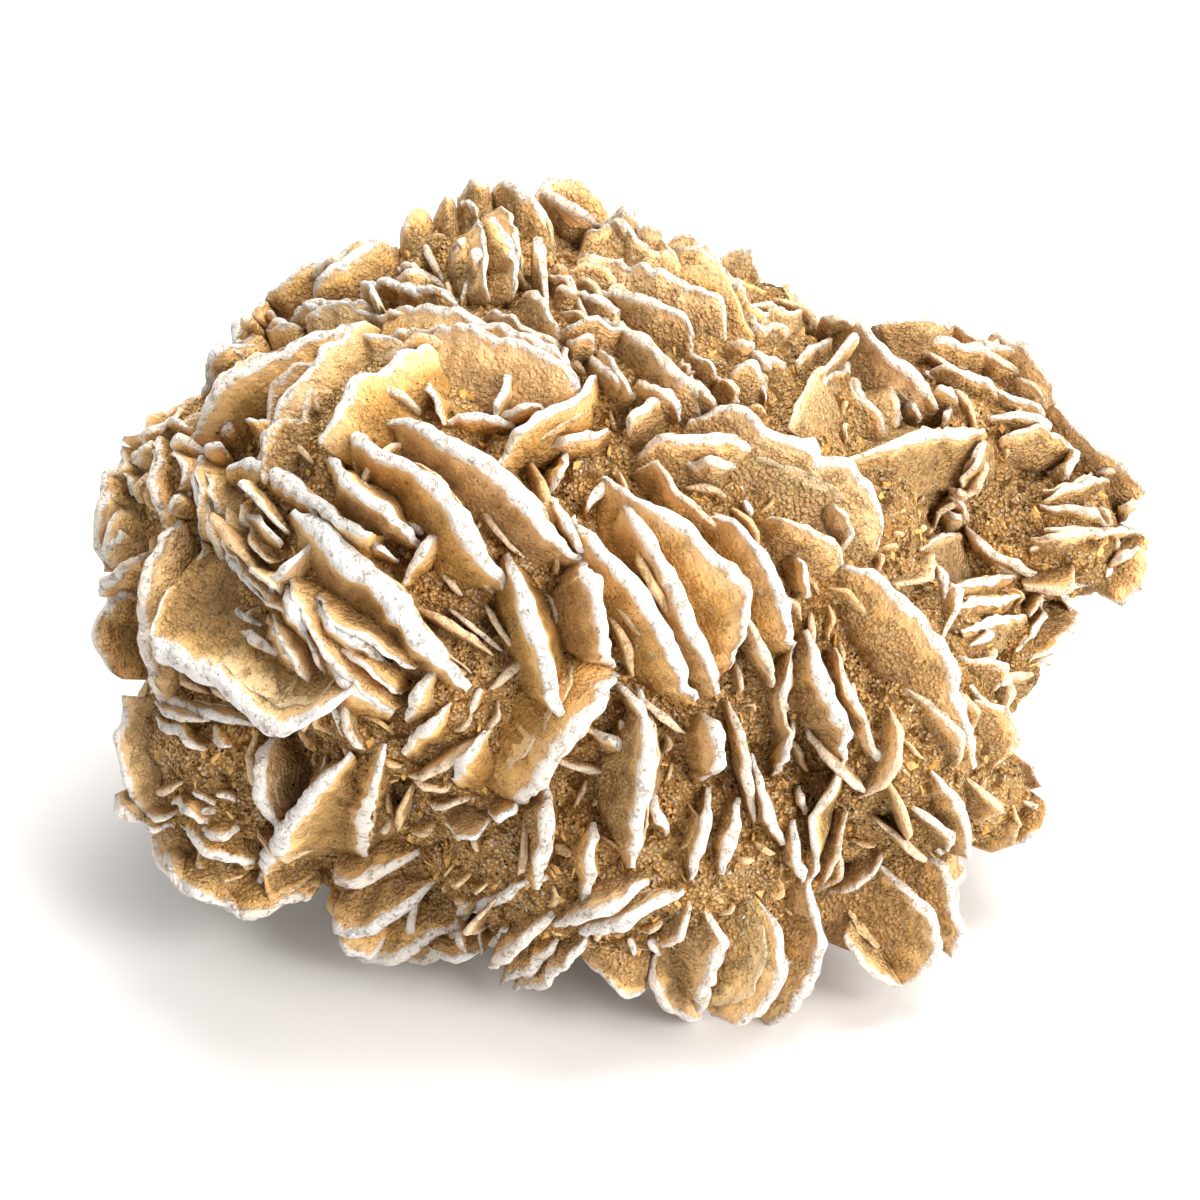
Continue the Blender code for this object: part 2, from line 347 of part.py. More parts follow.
def blade_mesh(rim, root, thickness):
    """One closed plate between its rim and its straight root, thickest in the middle."""
    mesh = bmesh.new()
    last = len(rim) - 1
    middle = len(rim) // 2
    facing = (rim[last] - rim[0]).cross(rim[middle] - (root[0] + root[1]) / 2).normalized()
    for i, edge in enumerate(rim):
        half = facing * thickness / 2 * (0.35 + 0.65 * swell(i / last, 0.7))
        mesh.verts.new(edge + half)
        mesh.verts.new(edge - half)
    for base in root:
        mesh.verts.new(base + facing * thickness / 2)
        mesh.verts.new(base - facing * thickness / 2)
    hull = bmesh.ops.convex_hull(mesh, input=mesh.verts)
    inside = {part for part in hull["geom_interior"] if isinstance(part, bmesh.types.BMVert)}
    bmesh.ops.delete(mesh, geom=list(inside), context="VERTS")
    return mesh


def front_blade(row):
    """A blade of the front, from its row: a curved rim over a straight root that lies in the body."""
    thickness, stands_out, ends_share, step_x, step_y, *numbers = row
    points = [Vector((x, y)) for x, y in zip(numbers[::2], numbers[1::2])]
    lengths = [0.0]
    for a, b in zip(points, points[1:]):
        lengths.append(lengths[-1] + (b - a).length)
    shares = [length / lengths[-1] for length in lengths]
    first, final = points[0], points[-1]
    away_first, away_final = (body_away(*point) for point in (first, final))
    step = Vector((step_x, step_y))
    bases = [first + step, (first + final) / 2 + step, final + step]
    base_first, base_middle, base_final = (body_away(*base) + ROOT_DEPTH for base in bases)
    sink = max(0.0, base_middle - (base_first + base_final) / 2)
    root_first = on_sheet(*bases[0], base_first + sink)
    root_final = on_sheet(*bases[2], base_final + sink)
    rim = []
    for point, share in zip(points, shares):
        rise = ends_share + (1 - ends_share) * swell(share, BULGE)
        away = away_first + (away_final - away_first) * share - RIM_SET - stands_out * rise
        rim.append(on_sheet(*point, away))
    return blade_mesh(rim, (root_first, root_final), thickness)


def stack(row, chance):
    """A stack of near-parallel blades that stands out from the body in one direction: a mesh for each."""
    around, up, turn, count, step, longest, stands_out = row
    around, up, turn = map(math.radians, (around, up, turn))
    outward = Vector((math.cos(around) * math.cos(up), math.sin(around) * math.cos(up), math.sin(up)))
    level = Vector((-math.sin(around), math.cos(around), 0))
    along = level * math.cos(turn) + outward.cross(level) * math.sin(turn)
    across = outward.cross(along)
    middle = body_point(outward)
    made = []
    for i in range(count):
        place = i - (count - 1) / 2
        length = longest * (1 - (abs(place) / (count / 2 + 1)) ** 2) * chance.uniform(0.8, 1.1)
        rise = stands_out * chance.uniform(0.7, 1.1)
        offset = across * (place * step + chance.uniform(-0.6, 0.6)) + along * chance.uniform(-3.0, 3.0)
        twist = along + across * chance.uniform(-0.15, 0.15)
        ends = [middle + offset + twist * (length * side) for side in (-0.5, 0.5)]
        ends = [body_point((end - BODY_HEART).normalized()) for end in ends]
        away = ((ends[0] + ends[1]) / 2 - BODY_HEART).normalized()
        tip = away + across * (0.12 * place)
        rim = []
        for k in range(HIDDEN_STATIONS):
            share = k / (HIDDEN_STATIONS - 1)
            chord = ends[0].lerp(ends[1], share)
            over = body_point((chord - BODY_HEART).normalized()) - chord
            rim.append(chord + over * 0.9 + tip * (RIM_SET + rise * swell(share, BULGE)))
        root = [end - away * ROOT_DEPTH for end in ends]
        made.append(blade_mesh(rim, root, HIDDEN_THICKNESS))
    return made


def lobe_mesh(middle, axes, sizes):
    """One rounded lobe of the sandy body."""
    mesh = bmesh.new()
    for vert in bmesh.ops.create_icosphere(mesh, subdivisions=3, radius=1.0)["verts"]:
        x, y, z = vert.co
        vert.co = middle + axes[0] * (x * sizes[0]) + axes[1] * (y * sizes[1]) + axes[2] * (z * sizes[2])
    return mesh


def new_object(name, mesh, collection):
    """An object that takes over this mesh, with its faces turned outwards."""
    bmesh.ops.recalc_face_normals(mesh, faces=mesh.faces)
    data = bpy.data.meshes.new(name)
    mesh.to_mesh(data)
    mesh.free()
    obj = bpy.data.objects.new(name, data)
    collection.objects.link(obj)
    return obj


def largest_piece(mesh):
    """Deletes every closed skin but the largest: the linings of sealed hollows, and tips cut off from the rest."""
    unseen = set(mesh.verts)
    skins = []
    while unseen:
        skin = set()
        edge = [unseen.pop()]
        while edge:
            vert = edge.pop()
            skin.add(vert)
            for link in vert.link_edges:
                other = link.other_vert(vert)
                if other in unseen:
                    unseen.remove(other)
                    edge.append(other)
        skins.append(skin)
    skins.sort(key=len)
    bmesh.ops.delete(mesh, geom=[vert for skin in skins[:-1] for vert in skin], context="VERTS")


def grow():
    """The cluster as one mesh, in millimetres: every lobe and blade joined, thinned and worn flat below."""
    chance = random.Random(HIDDEN_SEED)
    meshes = [lobe_mesh(*lobe) for lobe in LOBES]
    meshes += [front_blade(row) for row in FRONT_BLADES]
    for row in HIDDEN_STACKS:
        meshes += stack(row, chance)
    scene = bpy.context.scene
    grown_on = bpy.data.collections.new("grown_on")
    scene.collection.children.link(grown_on)
    body = new_object("body", meshes[0], scene.collection)
    for i, mesh in enumerate(meshes[1:]):
        new_object(f"grown_{i}", mesh, grown_on)
    union = body.modifiers.new("union", "BOOLEAN")
    union.operation = "UNION"
    union.operand_type = "COLLECTION"
    union.collection = grown_on
    graph = bpy.context.evaluated_depsgraph_get()
    joined = bmesh.new()
    joined.from_object(body, graph)
    bmesh.ops.triangulate(joined, faces=joined.faces)
    largest_piece(joined)
    for obj in [body, *grown_on.objects]:
        bpy.data.objects.remove(obj)
    bpy.data.collections.remove(grown_on)
    return joined


def thin(mesh):
    """The same cluster with fewer triangles."""
    obj = new_object("thin", mesh, bpy.context.scene.collection)
    faces = len(obj.data.polygons)
    modifier = obj.modifiers.new("thin", "DECIMATE")
    modifier.ratio = min(1.0, MOST_TRIANGLES / faces)
    modifier.use_collapse_triangulate = True
    thinned = bmesh.new()
    thinned.from_object(obj, bpy.context.evaluated_depsgraph_get())
    bpy.data.objects.remove(obj)
    return thinned


def part_touching(mesh):
    """Draws back the points where two skins only touch, so that the solid never meets itself at an edge."""
    mesh.verts.ensure_lookup_table()
    tree = kdtree.KDTree(len(mesh.verts))
    for vert in mesh.verts:
        tree.insert(vert.co, vert.index)
    tree.balance()
    touching = [vert for vert in mesh.verts if len(tree.find_range(vert.co, TOUCH)) > 1]
    for vert in touching:
        neighbours = [edge.other_vert(vert).co for edge in vert.link_edges]
        vert.co = vert.co.lerp(sum(neighbours, Vector()) / len(neighbours), PARTING)


def wear_flat(mesh):
    """Cuts off the lowest tips level, so that the cluster rests on flats."""
    geometry = [*mesh.verts, *mesh.edges, *mesh.faces]
    cut = bmesh.ops.bisect_plane(
        mesh, geom=geometry, plane_co=(0, 0, REST_PLANE), plane_no=(0, 0, -1), clear_outer=True, dist=1e-5
    )
    rims = [part for part in cut["geom_cut"] if isinstance(part, bmesh.types.BMEdge)]
    bmesh.ops.triangle_fill(mesh, edges=rims, use_beauty=True, use_dissolve=False)
    bmesh.ops.triangulate(mesh, faces=mesh.faces)


def sandy_gypsum():
    material = bpy.data.materials.new("sandy_gypsum")
    material.use_nodes = True
    shader = material.node_tree.nodes["Principled BSDF"]
    shader.inputs["Base Color"].default_value = (0.62, 0.42, 0.22, 1.0)
    shader.inputs["Roughness"].default_value = 0.7
    shader.inputs["Metallic"].default_value = 0.0
    return material


def main():
    for obj in list(bpy.data.objects):
        bpy.data.objects.remove(obj)
    mesh = thin(grow())
    wear_flat(mesh)
    part_touching(mesh)
    bmesh.ops.scale(mesh, vec=(METRES, METRES, METRES), verts=mesh.verts)
    rose = new_object("sand_rose", mesh, bpy.context.scene.collection)
    rose.data.materials.append(sandy_gypsum())


main()
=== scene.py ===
"""Gypsum sand rose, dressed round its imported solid.

Every blade of the solid is made again here with a lumpy white rim and honey-coloured faces.
Between the blades lie the cemented sand, seedling blades, crystal flakes and loose grains.
Sizes are in millimetres until a mesh is made. X runs along the longest side and +Z is up.
"""

import math
import random
from functools import partial

import bmesh
import bpy
import numpy as np
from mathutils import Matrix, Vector, kdtree


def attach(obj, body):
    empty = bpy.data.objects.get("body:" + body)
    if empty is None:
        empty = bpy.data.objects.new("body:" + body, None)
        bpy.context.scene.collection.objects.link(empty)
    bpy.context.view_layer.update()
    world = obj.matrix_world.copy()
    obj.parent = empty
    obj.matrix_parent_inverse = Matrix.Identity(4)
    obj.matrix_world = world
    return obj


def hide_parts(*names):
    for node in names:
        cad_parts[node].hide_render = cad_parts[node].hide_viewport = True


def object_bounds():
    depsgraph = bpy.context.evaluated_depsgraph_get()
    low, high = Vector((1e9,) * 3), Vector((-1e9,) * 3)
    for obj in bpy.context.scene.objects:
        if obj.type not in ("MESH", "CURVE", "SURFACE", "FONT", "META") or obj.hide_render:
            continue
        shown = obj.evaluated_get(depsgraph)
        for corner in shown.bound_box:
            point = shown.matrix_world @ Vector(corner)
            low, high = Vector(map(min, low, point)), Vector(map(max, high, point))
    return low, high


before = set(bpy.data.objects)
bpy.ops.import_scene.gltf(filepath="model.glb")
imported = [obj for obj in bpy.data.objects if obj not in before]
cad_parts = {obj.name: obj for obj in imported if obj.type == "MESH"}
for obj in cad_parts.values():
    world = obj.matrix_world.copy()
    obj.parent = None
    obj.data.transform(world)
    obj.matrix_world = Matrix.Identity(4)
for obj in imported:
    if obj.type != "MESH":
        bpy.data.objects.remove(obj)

METRES = 0.001
CAD_BOX = [list(corner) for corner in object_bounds()]

# The front sheet: a square whose x runs right and y runs down. It leans back, and lines from one
# eye point in front of it give every place behind it.
SHEET_SIDE = 120.0
SHEET_LEAN = math.radians(33.0)
SHEET_MIDDLE = Vector((-3.4, -6.6, 35.8))
EYE_DISTANCE = 520.0
SHEET_RIGHT = Vector((1.0, 0.0, 0.0))
SHEET_UP = Vector((0.0, math.sin(SHEET_LEAN), math.cos(SHEET_LEAN)))
SHEET_AWAY = Vector((0.0, math.cos(SHEET_LEAN), -math.sin(SHEET_LEAN)))
EYE = SHEET_MIDDLE - SHEET_AWAY * EYE_DISTANCE

# The stacks on the hidden sides grow away from this point, which is inside every large lobe.
BODY_HEART = SHEET_MIDDLE + Vector((-3.0, 6.0, -2.0))
ROOT_DEPTH = 3.5  # how far a blade's root goes on under the sand
RIM_SET = 0.5  # how far a rim's ends stay clear of the sand
BULGE = 0.5  # the power that rounds a rim's rise from its ends

# Lobes of the sandy body, on the sheet: x, y, distance behind the sheet, then the half sizes
# along the sheet's x, along its y and away from it.
FRONT_LOBES = (
    (43, 57, -16, 19, 21, 14),
    (22, 51, 4, 9, 12, 13),
    (25, 73, 0, 11, 13, 13),
    (50, 33, 10, 14, 12, 16),
    (68, 40, 6, 15, 12, 16),
    (88, 45, 18, 16, 11, 15),
    (102, 53, 20, 11, 8, 11),
    (86, 71, 2, 14, 17, 17),
    (63, 82, -3, 22, 14, 16),
    (97, 78.3, 12, 6.5, 6.2, 9),
    (37, 35, 12, 11, 9, 13),
    (72.5, 36, 12, 9.5, 8.8, 12),
    (99.5, 64.5, 14, 4.5, 8, 8),
    (41, 85, 6, 9, 8, 10),
    (26, 82, 4, 8, 6.5, 9),
)
# Lobes given upright: the middle from the sheet's middle, then the half sizes along X, Y and Z.
UPRIGHT_LOBES = (
    (-4, 6, -1, 38, 32, 32),
    (2, 20, -14.5, 34, 22, 18.5),
)

# Blades drawn on the sheet. Each row: thickness, how far the middle of the rim stands out of the
# body, the share of that at its ends, the step (x, y) from the rim's chord to the root, then the
# rim's points x, y.
MAIN_ROSETTE = (
    (1.7, 8.5, 0.75, 1, 2.5, 22.9, 46.5, 24, 46.2, 26.2, 46.8, 28.5, 48.2, 31, 49.8, 34, 51.8, 37, 53.4),
    (2.3, 8, 0.1, -0.5, 1, 29.4, 50.9, 32.5, 53.2, 34.8, 56.3, 37.8, 58.3, 40.9, 62.1, 43.7, 65.5, 47,
     68.7),
    (1.3, 8, 0.1, -0.5, 1, 33, 45.6, 36, 49, 38.6, 51, 42, 54.5),
    (1.8, 9, 0.1, -1, 1.2, 34.5, 42.1, 37.2, 44.8, 41.2, 46.9, 44, 49, 46, 51.5, 48, 54.7, 51, 59.2),
    (1.8, 9, 0.1, -1.5, 1.5, 38.5, 41.8, 43.8, 43.4, 46.9, 45, 50.2, 47.8, 53.3, 50.8, 56, 53.8, 58.5,
     56.2),
    (1.6, 9, 0.1, -2.5, 0.5, 58, 55.8, 59.7, 59, 60.3, 63, 61.3, 66.8),
    (2, 8, 0.1, -5, -4, 61.7, 67.4, 59.9, 71, 57.6, 73.8, 55.8, 76.3, 53.8, 78.9, 51.5, 80.7),
    (1.5, 8, 0.1, -1, 0.3, 50.8, 55.3, 51.5, 57.5, 53.5, 63.3, 54.8, 67.4, 56.3, 71.5, 57, 73.4),
    (1, 6, 0.1, -0.8, 0.6, 54.8, 49.5, 56.2, 50.5, 58, 54, 58.6, 55.6),
    (1.5, 7, 0.1, -2.5, 1.5, 57.5, 51.5, 59.5, 53.5, 62, 56.5, 64.5, 60.2, 66.5, 63.2, 68.2, 66.2, 69.7,
     70),
    (1.4, 7, 0.1, -2, 1, 61.5, 49.4, 64, 52, 66, 55.5, 67.5, 59, 69.5, 63, 71.5, 67, 71.8, 69.4),
    (1.4, 6, 0.1, -2, 0, 70.5, 71.3, 72.2, 73, 72.3, 76, 70.6, 78),
    (1.3, 7, 0.1, -2.5, 1.5, 60.1, 47.8, 64.5, 50, 68, 52, 72, 56, 75, 58.5, 75, 62, 72.8, 67),
    (1.2, 7, 0.1, -3, 2, 70.7, 51.6, 73.5, 52.4, 75.7, 54.5, 77.8, 58.5, 79, 62.5, 79.7, 65),
    (0.9, 4, 0.1, 1.5, 1, 39.8, 58.3, 42.5, 54.5, 44, 53),
    (0.9, 4, 0.1, 1.5, 1.5, 26.2, 59.7, 29, 56, 31.8, 54.1),
    (1.2, 5, 0.1, -1, 1.5, 31.3, 59.8, 33, 62, 35.5, 64, 39, 66.5),
    (1.1, 5, 0.1, -1, 1.5, 31.3, 64.5, 35, 68.5, 39.2, 71.5),
    (1.1, 5, 0.1, -1, 1, 28.5, 58.5, 29.3, 61.5, 32, 65),
    (1, 5, 0.1, -1, 1, 27.5, 62, 28, 64, 30.5, 67.5),
    (1.1, 4, 0.1, 1, 1, 43.3, 66.9, 41.8, 69.2, 40.5, 72),
    (1.2, 5, 0.1, 1, 1, 45, 70.2, 42.8, 72.5, 40.2, 75.3),
    (1.1, 4, 0.1, 1, 1, 48.2, 68.9, 45.5, 72.7),
    (1.4, 6, 0.1, 1, 1.5, 48.5, 73, 47, 75.3, 45.2, 77.9),
    (0.8, 3, 0.1, -0.5, 1, 36.5, 53.5, 38, 54.5, 40, 56),
)
BOWL = (
    (1.5, 6, 0.1, 4, 3, 19, 44, 20.5, 40.5, 23.5, 36.8, 28.5, 34.6, 31.5, 33.5, 36, 32),
    (1.5, 8.5, 0.5, 5.5, 3, 25.6, 46.4, 26.6, 43.6, 28.5, 39.5, 31, 36.2, 33.5, 33.6, 36.5, 32.2),
    (1.3, 8, 0.3, 6.5, 5, 32.1, 44.5, 33.5, 40.5, 36, 37.7, 39.5, 35.7, 44, 33.5),
    (1.3, 7, 0.3, 0, 6, 38.5, 31.3, 44, 30.3, 48, 31.6, 52, 32.8, 56, 35.2, 58, 38.5),
    (1.2, 7, 0.3, -1.5, 6.5, 42, 33.6, 46, 32.6, 50, 33.6, 54, 34.8, 56.5, 36.5, 58.4, 39.4),
    (0.9, 5, 0.1, 0, 3, 36, 33.9, 38, 33.5, 42, 34.5),
    (0.8, 4, 0.1, 0, 3, 50, 33.7, 51.5, 35.1, 53, 36.2),
    (1, 7, 0.1, 2, 1.8, 59.7, 37.4, 56.5, 40.3, 53, 42.3, 49.5, 46.2),
    (0.8, 4, 0.1, 0.5, 2, 54, 44.5, 57.5, 43.8, 60.9, 43),
    (0.8, 4, 0.1, -1.5, 0.5, 56.8, 45, 56.3, 47.5, 55, 49.5),
    (0.8, 4, 0.1, 1, 0.8, 42.8, 38.3, 43.6, 40.5, 44.4, 42.4),
    (0.8, 4, 0.1, 1.5, 0.5, 50.7, 36.2, 50, 39.5, 49.2, 41.8),
    (0.8, 4, 0.1, 0, 2, 50, 41.8, 52, 40.5, 55.5, 41.2),
    (0.8, 3, 0.1, 0, 2, 44.5, 41.9, 47.8, 41.6, 51.5, 42.7),
)
UPPER_LEFT = (
    (1, 4, 0.1, 1.5, 3, 26.8, 30, 28.5, 28, 32, 26.2),
    (1.1, 5, 0.1, 1, 4, 31.3, 29.3, 32, 27.8, 34, 25.8, 37, 24.1, 39.5, 25),
    (0.9, 5, 0.1, 1, 3, 29, 31.8, 31.8, 29.6, 35.5, 30),
    (0.9, 4, 0.1, 0.5, 3, 26.2, 34.5, 28.5, 32.3, 30, 34.5),
    (1, 5, 0.1, 3, 2.5, 20, 39.5, 21.2, 35, 25, 34.2),
    (1, 4, 0.1, 0.5, 2.5, 36.5, 28.2, 38.5, 28, 41.5, 28.8, 45.5, 30),
)
LEFT_LOBE = (
    (1, 4, 0.1, 4, 1, 12, 44.5, 9.9, 48.5, 9.3, 52, 10.4, 57.2),
    (1, 4, 0.1, 3, 2.5, 12.3, 46.5, 12.8, 45, 15, 43, 18, 40.7),
    (1, 4, 0.1, 3, 1, 15.8, 43.8, 15, 47, 15.5, 49.5, 16.8, 53),
    (0.9, 4, 0.1, 2.5, 1, 20, 45.5, 19.6, 48, 20, 51, 20.6, 55),
    (0.9, 4, 0.1, 3, 1.5, 10.5, 54.5, 11.5, 51.5, 12.5, 50),
    (0.9, 4, 0.1, 2.5, 1.5, 10.7, 56.5, 12, 53.3, 13.2, 52.8),
    (1, 4, 0.1, 2, 2.5, 17, 44.9, 18, 44, 20.5, 45.2),
    (1, 4, 0.1, 2, 1, 22.2, 52.5, 22, 54.5, 24, 57.5, 26, 60),
    (1, 4, 0.1, -0.5, 1.5, 24.7, 51.4, 26.5, 52.6, 28.3, 54.4),
    (1.1, 4, 0.1, 3, 2, 10, 59.5, 11, 57.5, 15, 55.3),
    (1.1, 4, 0.1, 4, 2.5, 9.3, 63.5, 10.4, 60.5, 14, 58.3),
)
LEFT_ROSETTE = (
    (1.3, 6, 0.1, 4, 2, 18, 52, 15.5, 54.6, 13.9, 58.5, 13.5, 62.5, 14.8, 67.5, 16, 70.5),
    (2.2, 9, 0.6, 2.5, -2.5, 18.2, 57.8, 16.4, 60.4, 15.1, 64.2, 20.7, 68.2, 28.9, 73.3, 32, 71.3, 35.2,
     69),
    (1, 4, 0.1, 1, -2, 15, 69.2, 18, 70.7, 22, 71.9, 25.5, 72.9),
    (0.9, 4, 0.1, -1, 1, 19.8, 57.8, 21, 59.8, 22.6, 61.6),
    (0.9, 4, 0.1, -1, 1, 22.5, 59.3, 24, 61.2, 26.3, 62.4),
    (0.9, 4, 0.1, -1, 1, 24.2, 62.6, 26, 64.2, 28.2, 65.7),
)
BOTTOM_LEFT = (
    (1.2, 4, 0.1, 5, 0.5, 12.2, 69.5, 11.6, 73.3, 12.1, 77.6, 14.1, 81.2),
    (1, 3, 0.1, 2.5, -1, 11.2, 79.7, 12, 81.3, 14, 82.4),
    (1.1, 4, 0.1, 1, -3, 18.4, 82.9, 19.3, 85, 22.5, 86, 25.4, 86.4),
    (1, 4, 0.1, 0.5, -2, 17.3, 80, 19, 81.6, 20.8, 82.3),
    (1, 4, 0.1, 0.5, -2.5, 20, 83.3, 21.8, 83.9, 23.8, 83.5),
    (1.8, 7, 0.1, 2, 2, 35, 75.1, 32, 78.7, 29.4, 81.5, 26.9, 85, 25.5, 88.4),
    (1.5, 6, 0.1, 3.5, 0.5, 27, 73.4, 25.6, 77.4, 25.9, 80.2, 27.3, 82.6),
    (1.5, 6, 0.1, -1.5, 1, 38.5, 74.4, 37.4, 78.5, 36.4, 82, 36.2, 86),
    (1.2, 3, 0.1, 2.5, -4, 22, 90.6, 24.8, 91.7, 27.5, 91.3, 31, 90),
    (1, 3, 0.1, 3, -3, 17.2, 87.5, 19.2, 89.3, 22, 90.5),
    (1.6, 3, 0.1, 0, -4, 34, 92, 34.4, 95.4, 37, 95.9, 39.6, 93),
    (1.3, 3, 0.1, 0, -4, 38.5, 94, 40.5, 95.7, 42.5, 93.5),
    (1.2, 3, 0.1, 0, -3, 43, 95, 44.9, 96.2, 48.2, 95.3),
)
LOWER_MIDDLE = (
    (1.4, 5, 0.1, -1, 0, 54.6, 78.4, 54.6, 82, 54.3, 85.5, 53.8, 89),
    (1.3, 5, 0.1, -1, 0, 59.5, 82.2, 59.2, 85, 58.4, 90.2),
    (1.6, 6, 0.1, -1.5, 0, 63.8, 68.9, 64.8, 74.3, 64.8, 77.8, 64.2, 82, 63.6, 86.8),
    (1.1, 4, 0.1, -0.8, 0.5, 65, 78.9, 66, 81.5, 66.7, 83.4),
    (0.9, 3, 0.1, 0.5, 1.5, 58.9, 73, 61, 74.3, 63.2, 75.6),
    (1.3, 4, 0.1, -1, 0, 71, 78.7, 70.2, 83.5, 69, 88),
    (1.3, 4, 0.1, -1.2, 0, 73.7, 79.7, 73.2, 84, 72.3, 87.5),
    (1.2, 4, 0.1, -1, 0.5, 75.2, 75.3, 76.5, 79.9, 78.3, 84.5),
    (1.1, 4, 0.1, -1, 0.3, 79.2, 82, 79.8, 85, 80.2, 88.3),
    (0.9, 4, 0.1, -1, 0.3, 79.7, 65, 78.6, 68.5, 78.2, 71.5),
    (0.9, 4, 0.1, -1, 0.3, 79.2, 72, 79, 74.5, 77.7, 77.6),
    (1.3, 5, 0.1, 0.5, -3, 54.5, 88, 51, 89.6, 47.5, 91.3, 44, 92.6),
    (1.3, 5, 0.1, 0.5, -3, 65, 88.5, 61.5, 90.8, 58, 92, 55.3, 92.6),
    (1.3, 5, 0.1, 0.5, -2.5, 68.3, 89.6, 64.2, 91.9, 61, 92.9, 57.8, 93.5),
    (1.4, 4, 0.1, 0.5, -3, 55, 91.6, 52, 94.4, 48.8, 96.7),
    (1.2, 3, 0.1, 1, -3, 55.6, 94.2, 53.3, 97, 50.2, 98.4),
    (1, 3, 0.1, 1, -3, 58.8, 93.8, 57, 96, 54.5, 98.6, 51.5, 99),
    (1.1, 3, 0.1, 1, -4, 58.3, 95.9, 60.7, 98.4, 63, 99.8, 65, 98.5),
    (1.6, 4, 0.1, -2, -3, 71, 91.5, 72.2, 94.5, 71.5, 97.5, 70.1, 101.7),
    (1.2, 3, 0.1, 1.5, -4, 65.2, 95.8, 65.3, 99.1, 67.5, 101.5, 70, 102),
    (1.3, 4, 0.1, -2.5, -3, 76.3, 90.5, 78.2, 93.1, 78.2, 97.9, 76.8, 100.7, 74.3, 102.5, 71.4, 101.6),
    (1.4, 4, 0.1, -2, -2, 81.1, 88.7, 81.9, 91.6, 81.2, 98.4, 79.8, 101, 76.8, 102.8),
)
LOWER_RIGHT = (
    (1.5, 6, 0.1, -3, 2, 84.4, 56.5, 87.7, 57.4, 90.2, 59.7, 93.3, 63, 95.3, 66.6, 96.8, 71, 97.9, 76.5),
    (1.2, 5, 0.1, -2, 1, 95.3, 65.8, 97.6, 68.6, 99.5, 71.5, 100.3, 74),
    (1.5, 6, 0.1, -2, 0.5, 80.6, 63, 81.8, 65.8, 83.2, 69.8, 84.5, 73.5, 84.7, 76),
    (1.5, 6, 0.1, -2, 0.5, 84.9, 68.6, 85.9, 71.4, 87.5, 75, 90.5, 77.7, 92.3, 80, 94, 83, 94.3, 85.5),
    (1.1, 5, 0.1, -2, 1, 93.3, 77, 95.9, 80.1, 97, 83, 97, 85.9),
    (1.4, 4, 0.1, -3.5, -1, 88, 86.6, 90.8, 89.2, 93.3, 91.6, 94, 95, 92.5, 97.3, 90.3, 98.9),
    (1, 3, 0.1, 2.5, -3, 84.4, 93.6, 86.2, 96.2, 88.5, 98.3, 90.5, 98.9),
    (1.2, 4, 0.1, -3, -1, 91.8, 86.1, 94.2, 86.5, 95.8, 90, 96.3, 93, 95.3, 95.8),
    (1, 4, 0.1, -1.5, 2, 79, 52, 82, 53.2, 84.3, 55.5, 84.4, 56.3),
    (1, 4, 0.1, -1, 0.5, 79.7, 55.5, 80.5, 57.5, 80.8, 59.8),
)
TOP_FAN = (
    (1.4, 4, 0.1, 1, 4, 39.9, 25, 40.3, 22.5, 41.8, 20.6, 43.5, 22.5),
    (1.3, 4, 0.1, 0.5, 4, 43.3, 22, 44.8, 19.2, 46, 21.5),
    (1.4, 5, 0.1, 0, 4, 45.7, 19.5, 47.8, 17.8, 49.5, 19.5),
    (1.5, 5, 0.1, 1, 2, 50.5, 21, 51, 24, 51.2, 27, 50.4, 30),
    (1.3, 4, 0.1, 0.5, 3.5, 49.3, 19, 50.5, 18, 53.5, 20, 55.5, 23.5),
    (1.3, 4, 0.1, 0, 3.5, 53.7, 20, 54.7, 19, 58, 21.2, 60, 22.2),
    (1.2, 4, 0.1, 0, 3.5, 60, 22.2, 62.8, 21, 64, 22.5),
    (1, 5, 0.1, 0.5, 3, 45.2, 25.5, 46, 24, 47.5, 26.2),
    (1, 5, 0.1, 0, 3, 46.8, 27, 47.8, 25, 48.8, 28.5),
    (0.9, 4, 0.1, 1, 1.5, 39.8, 26.8, 42, 27, 44, 28.5),
)
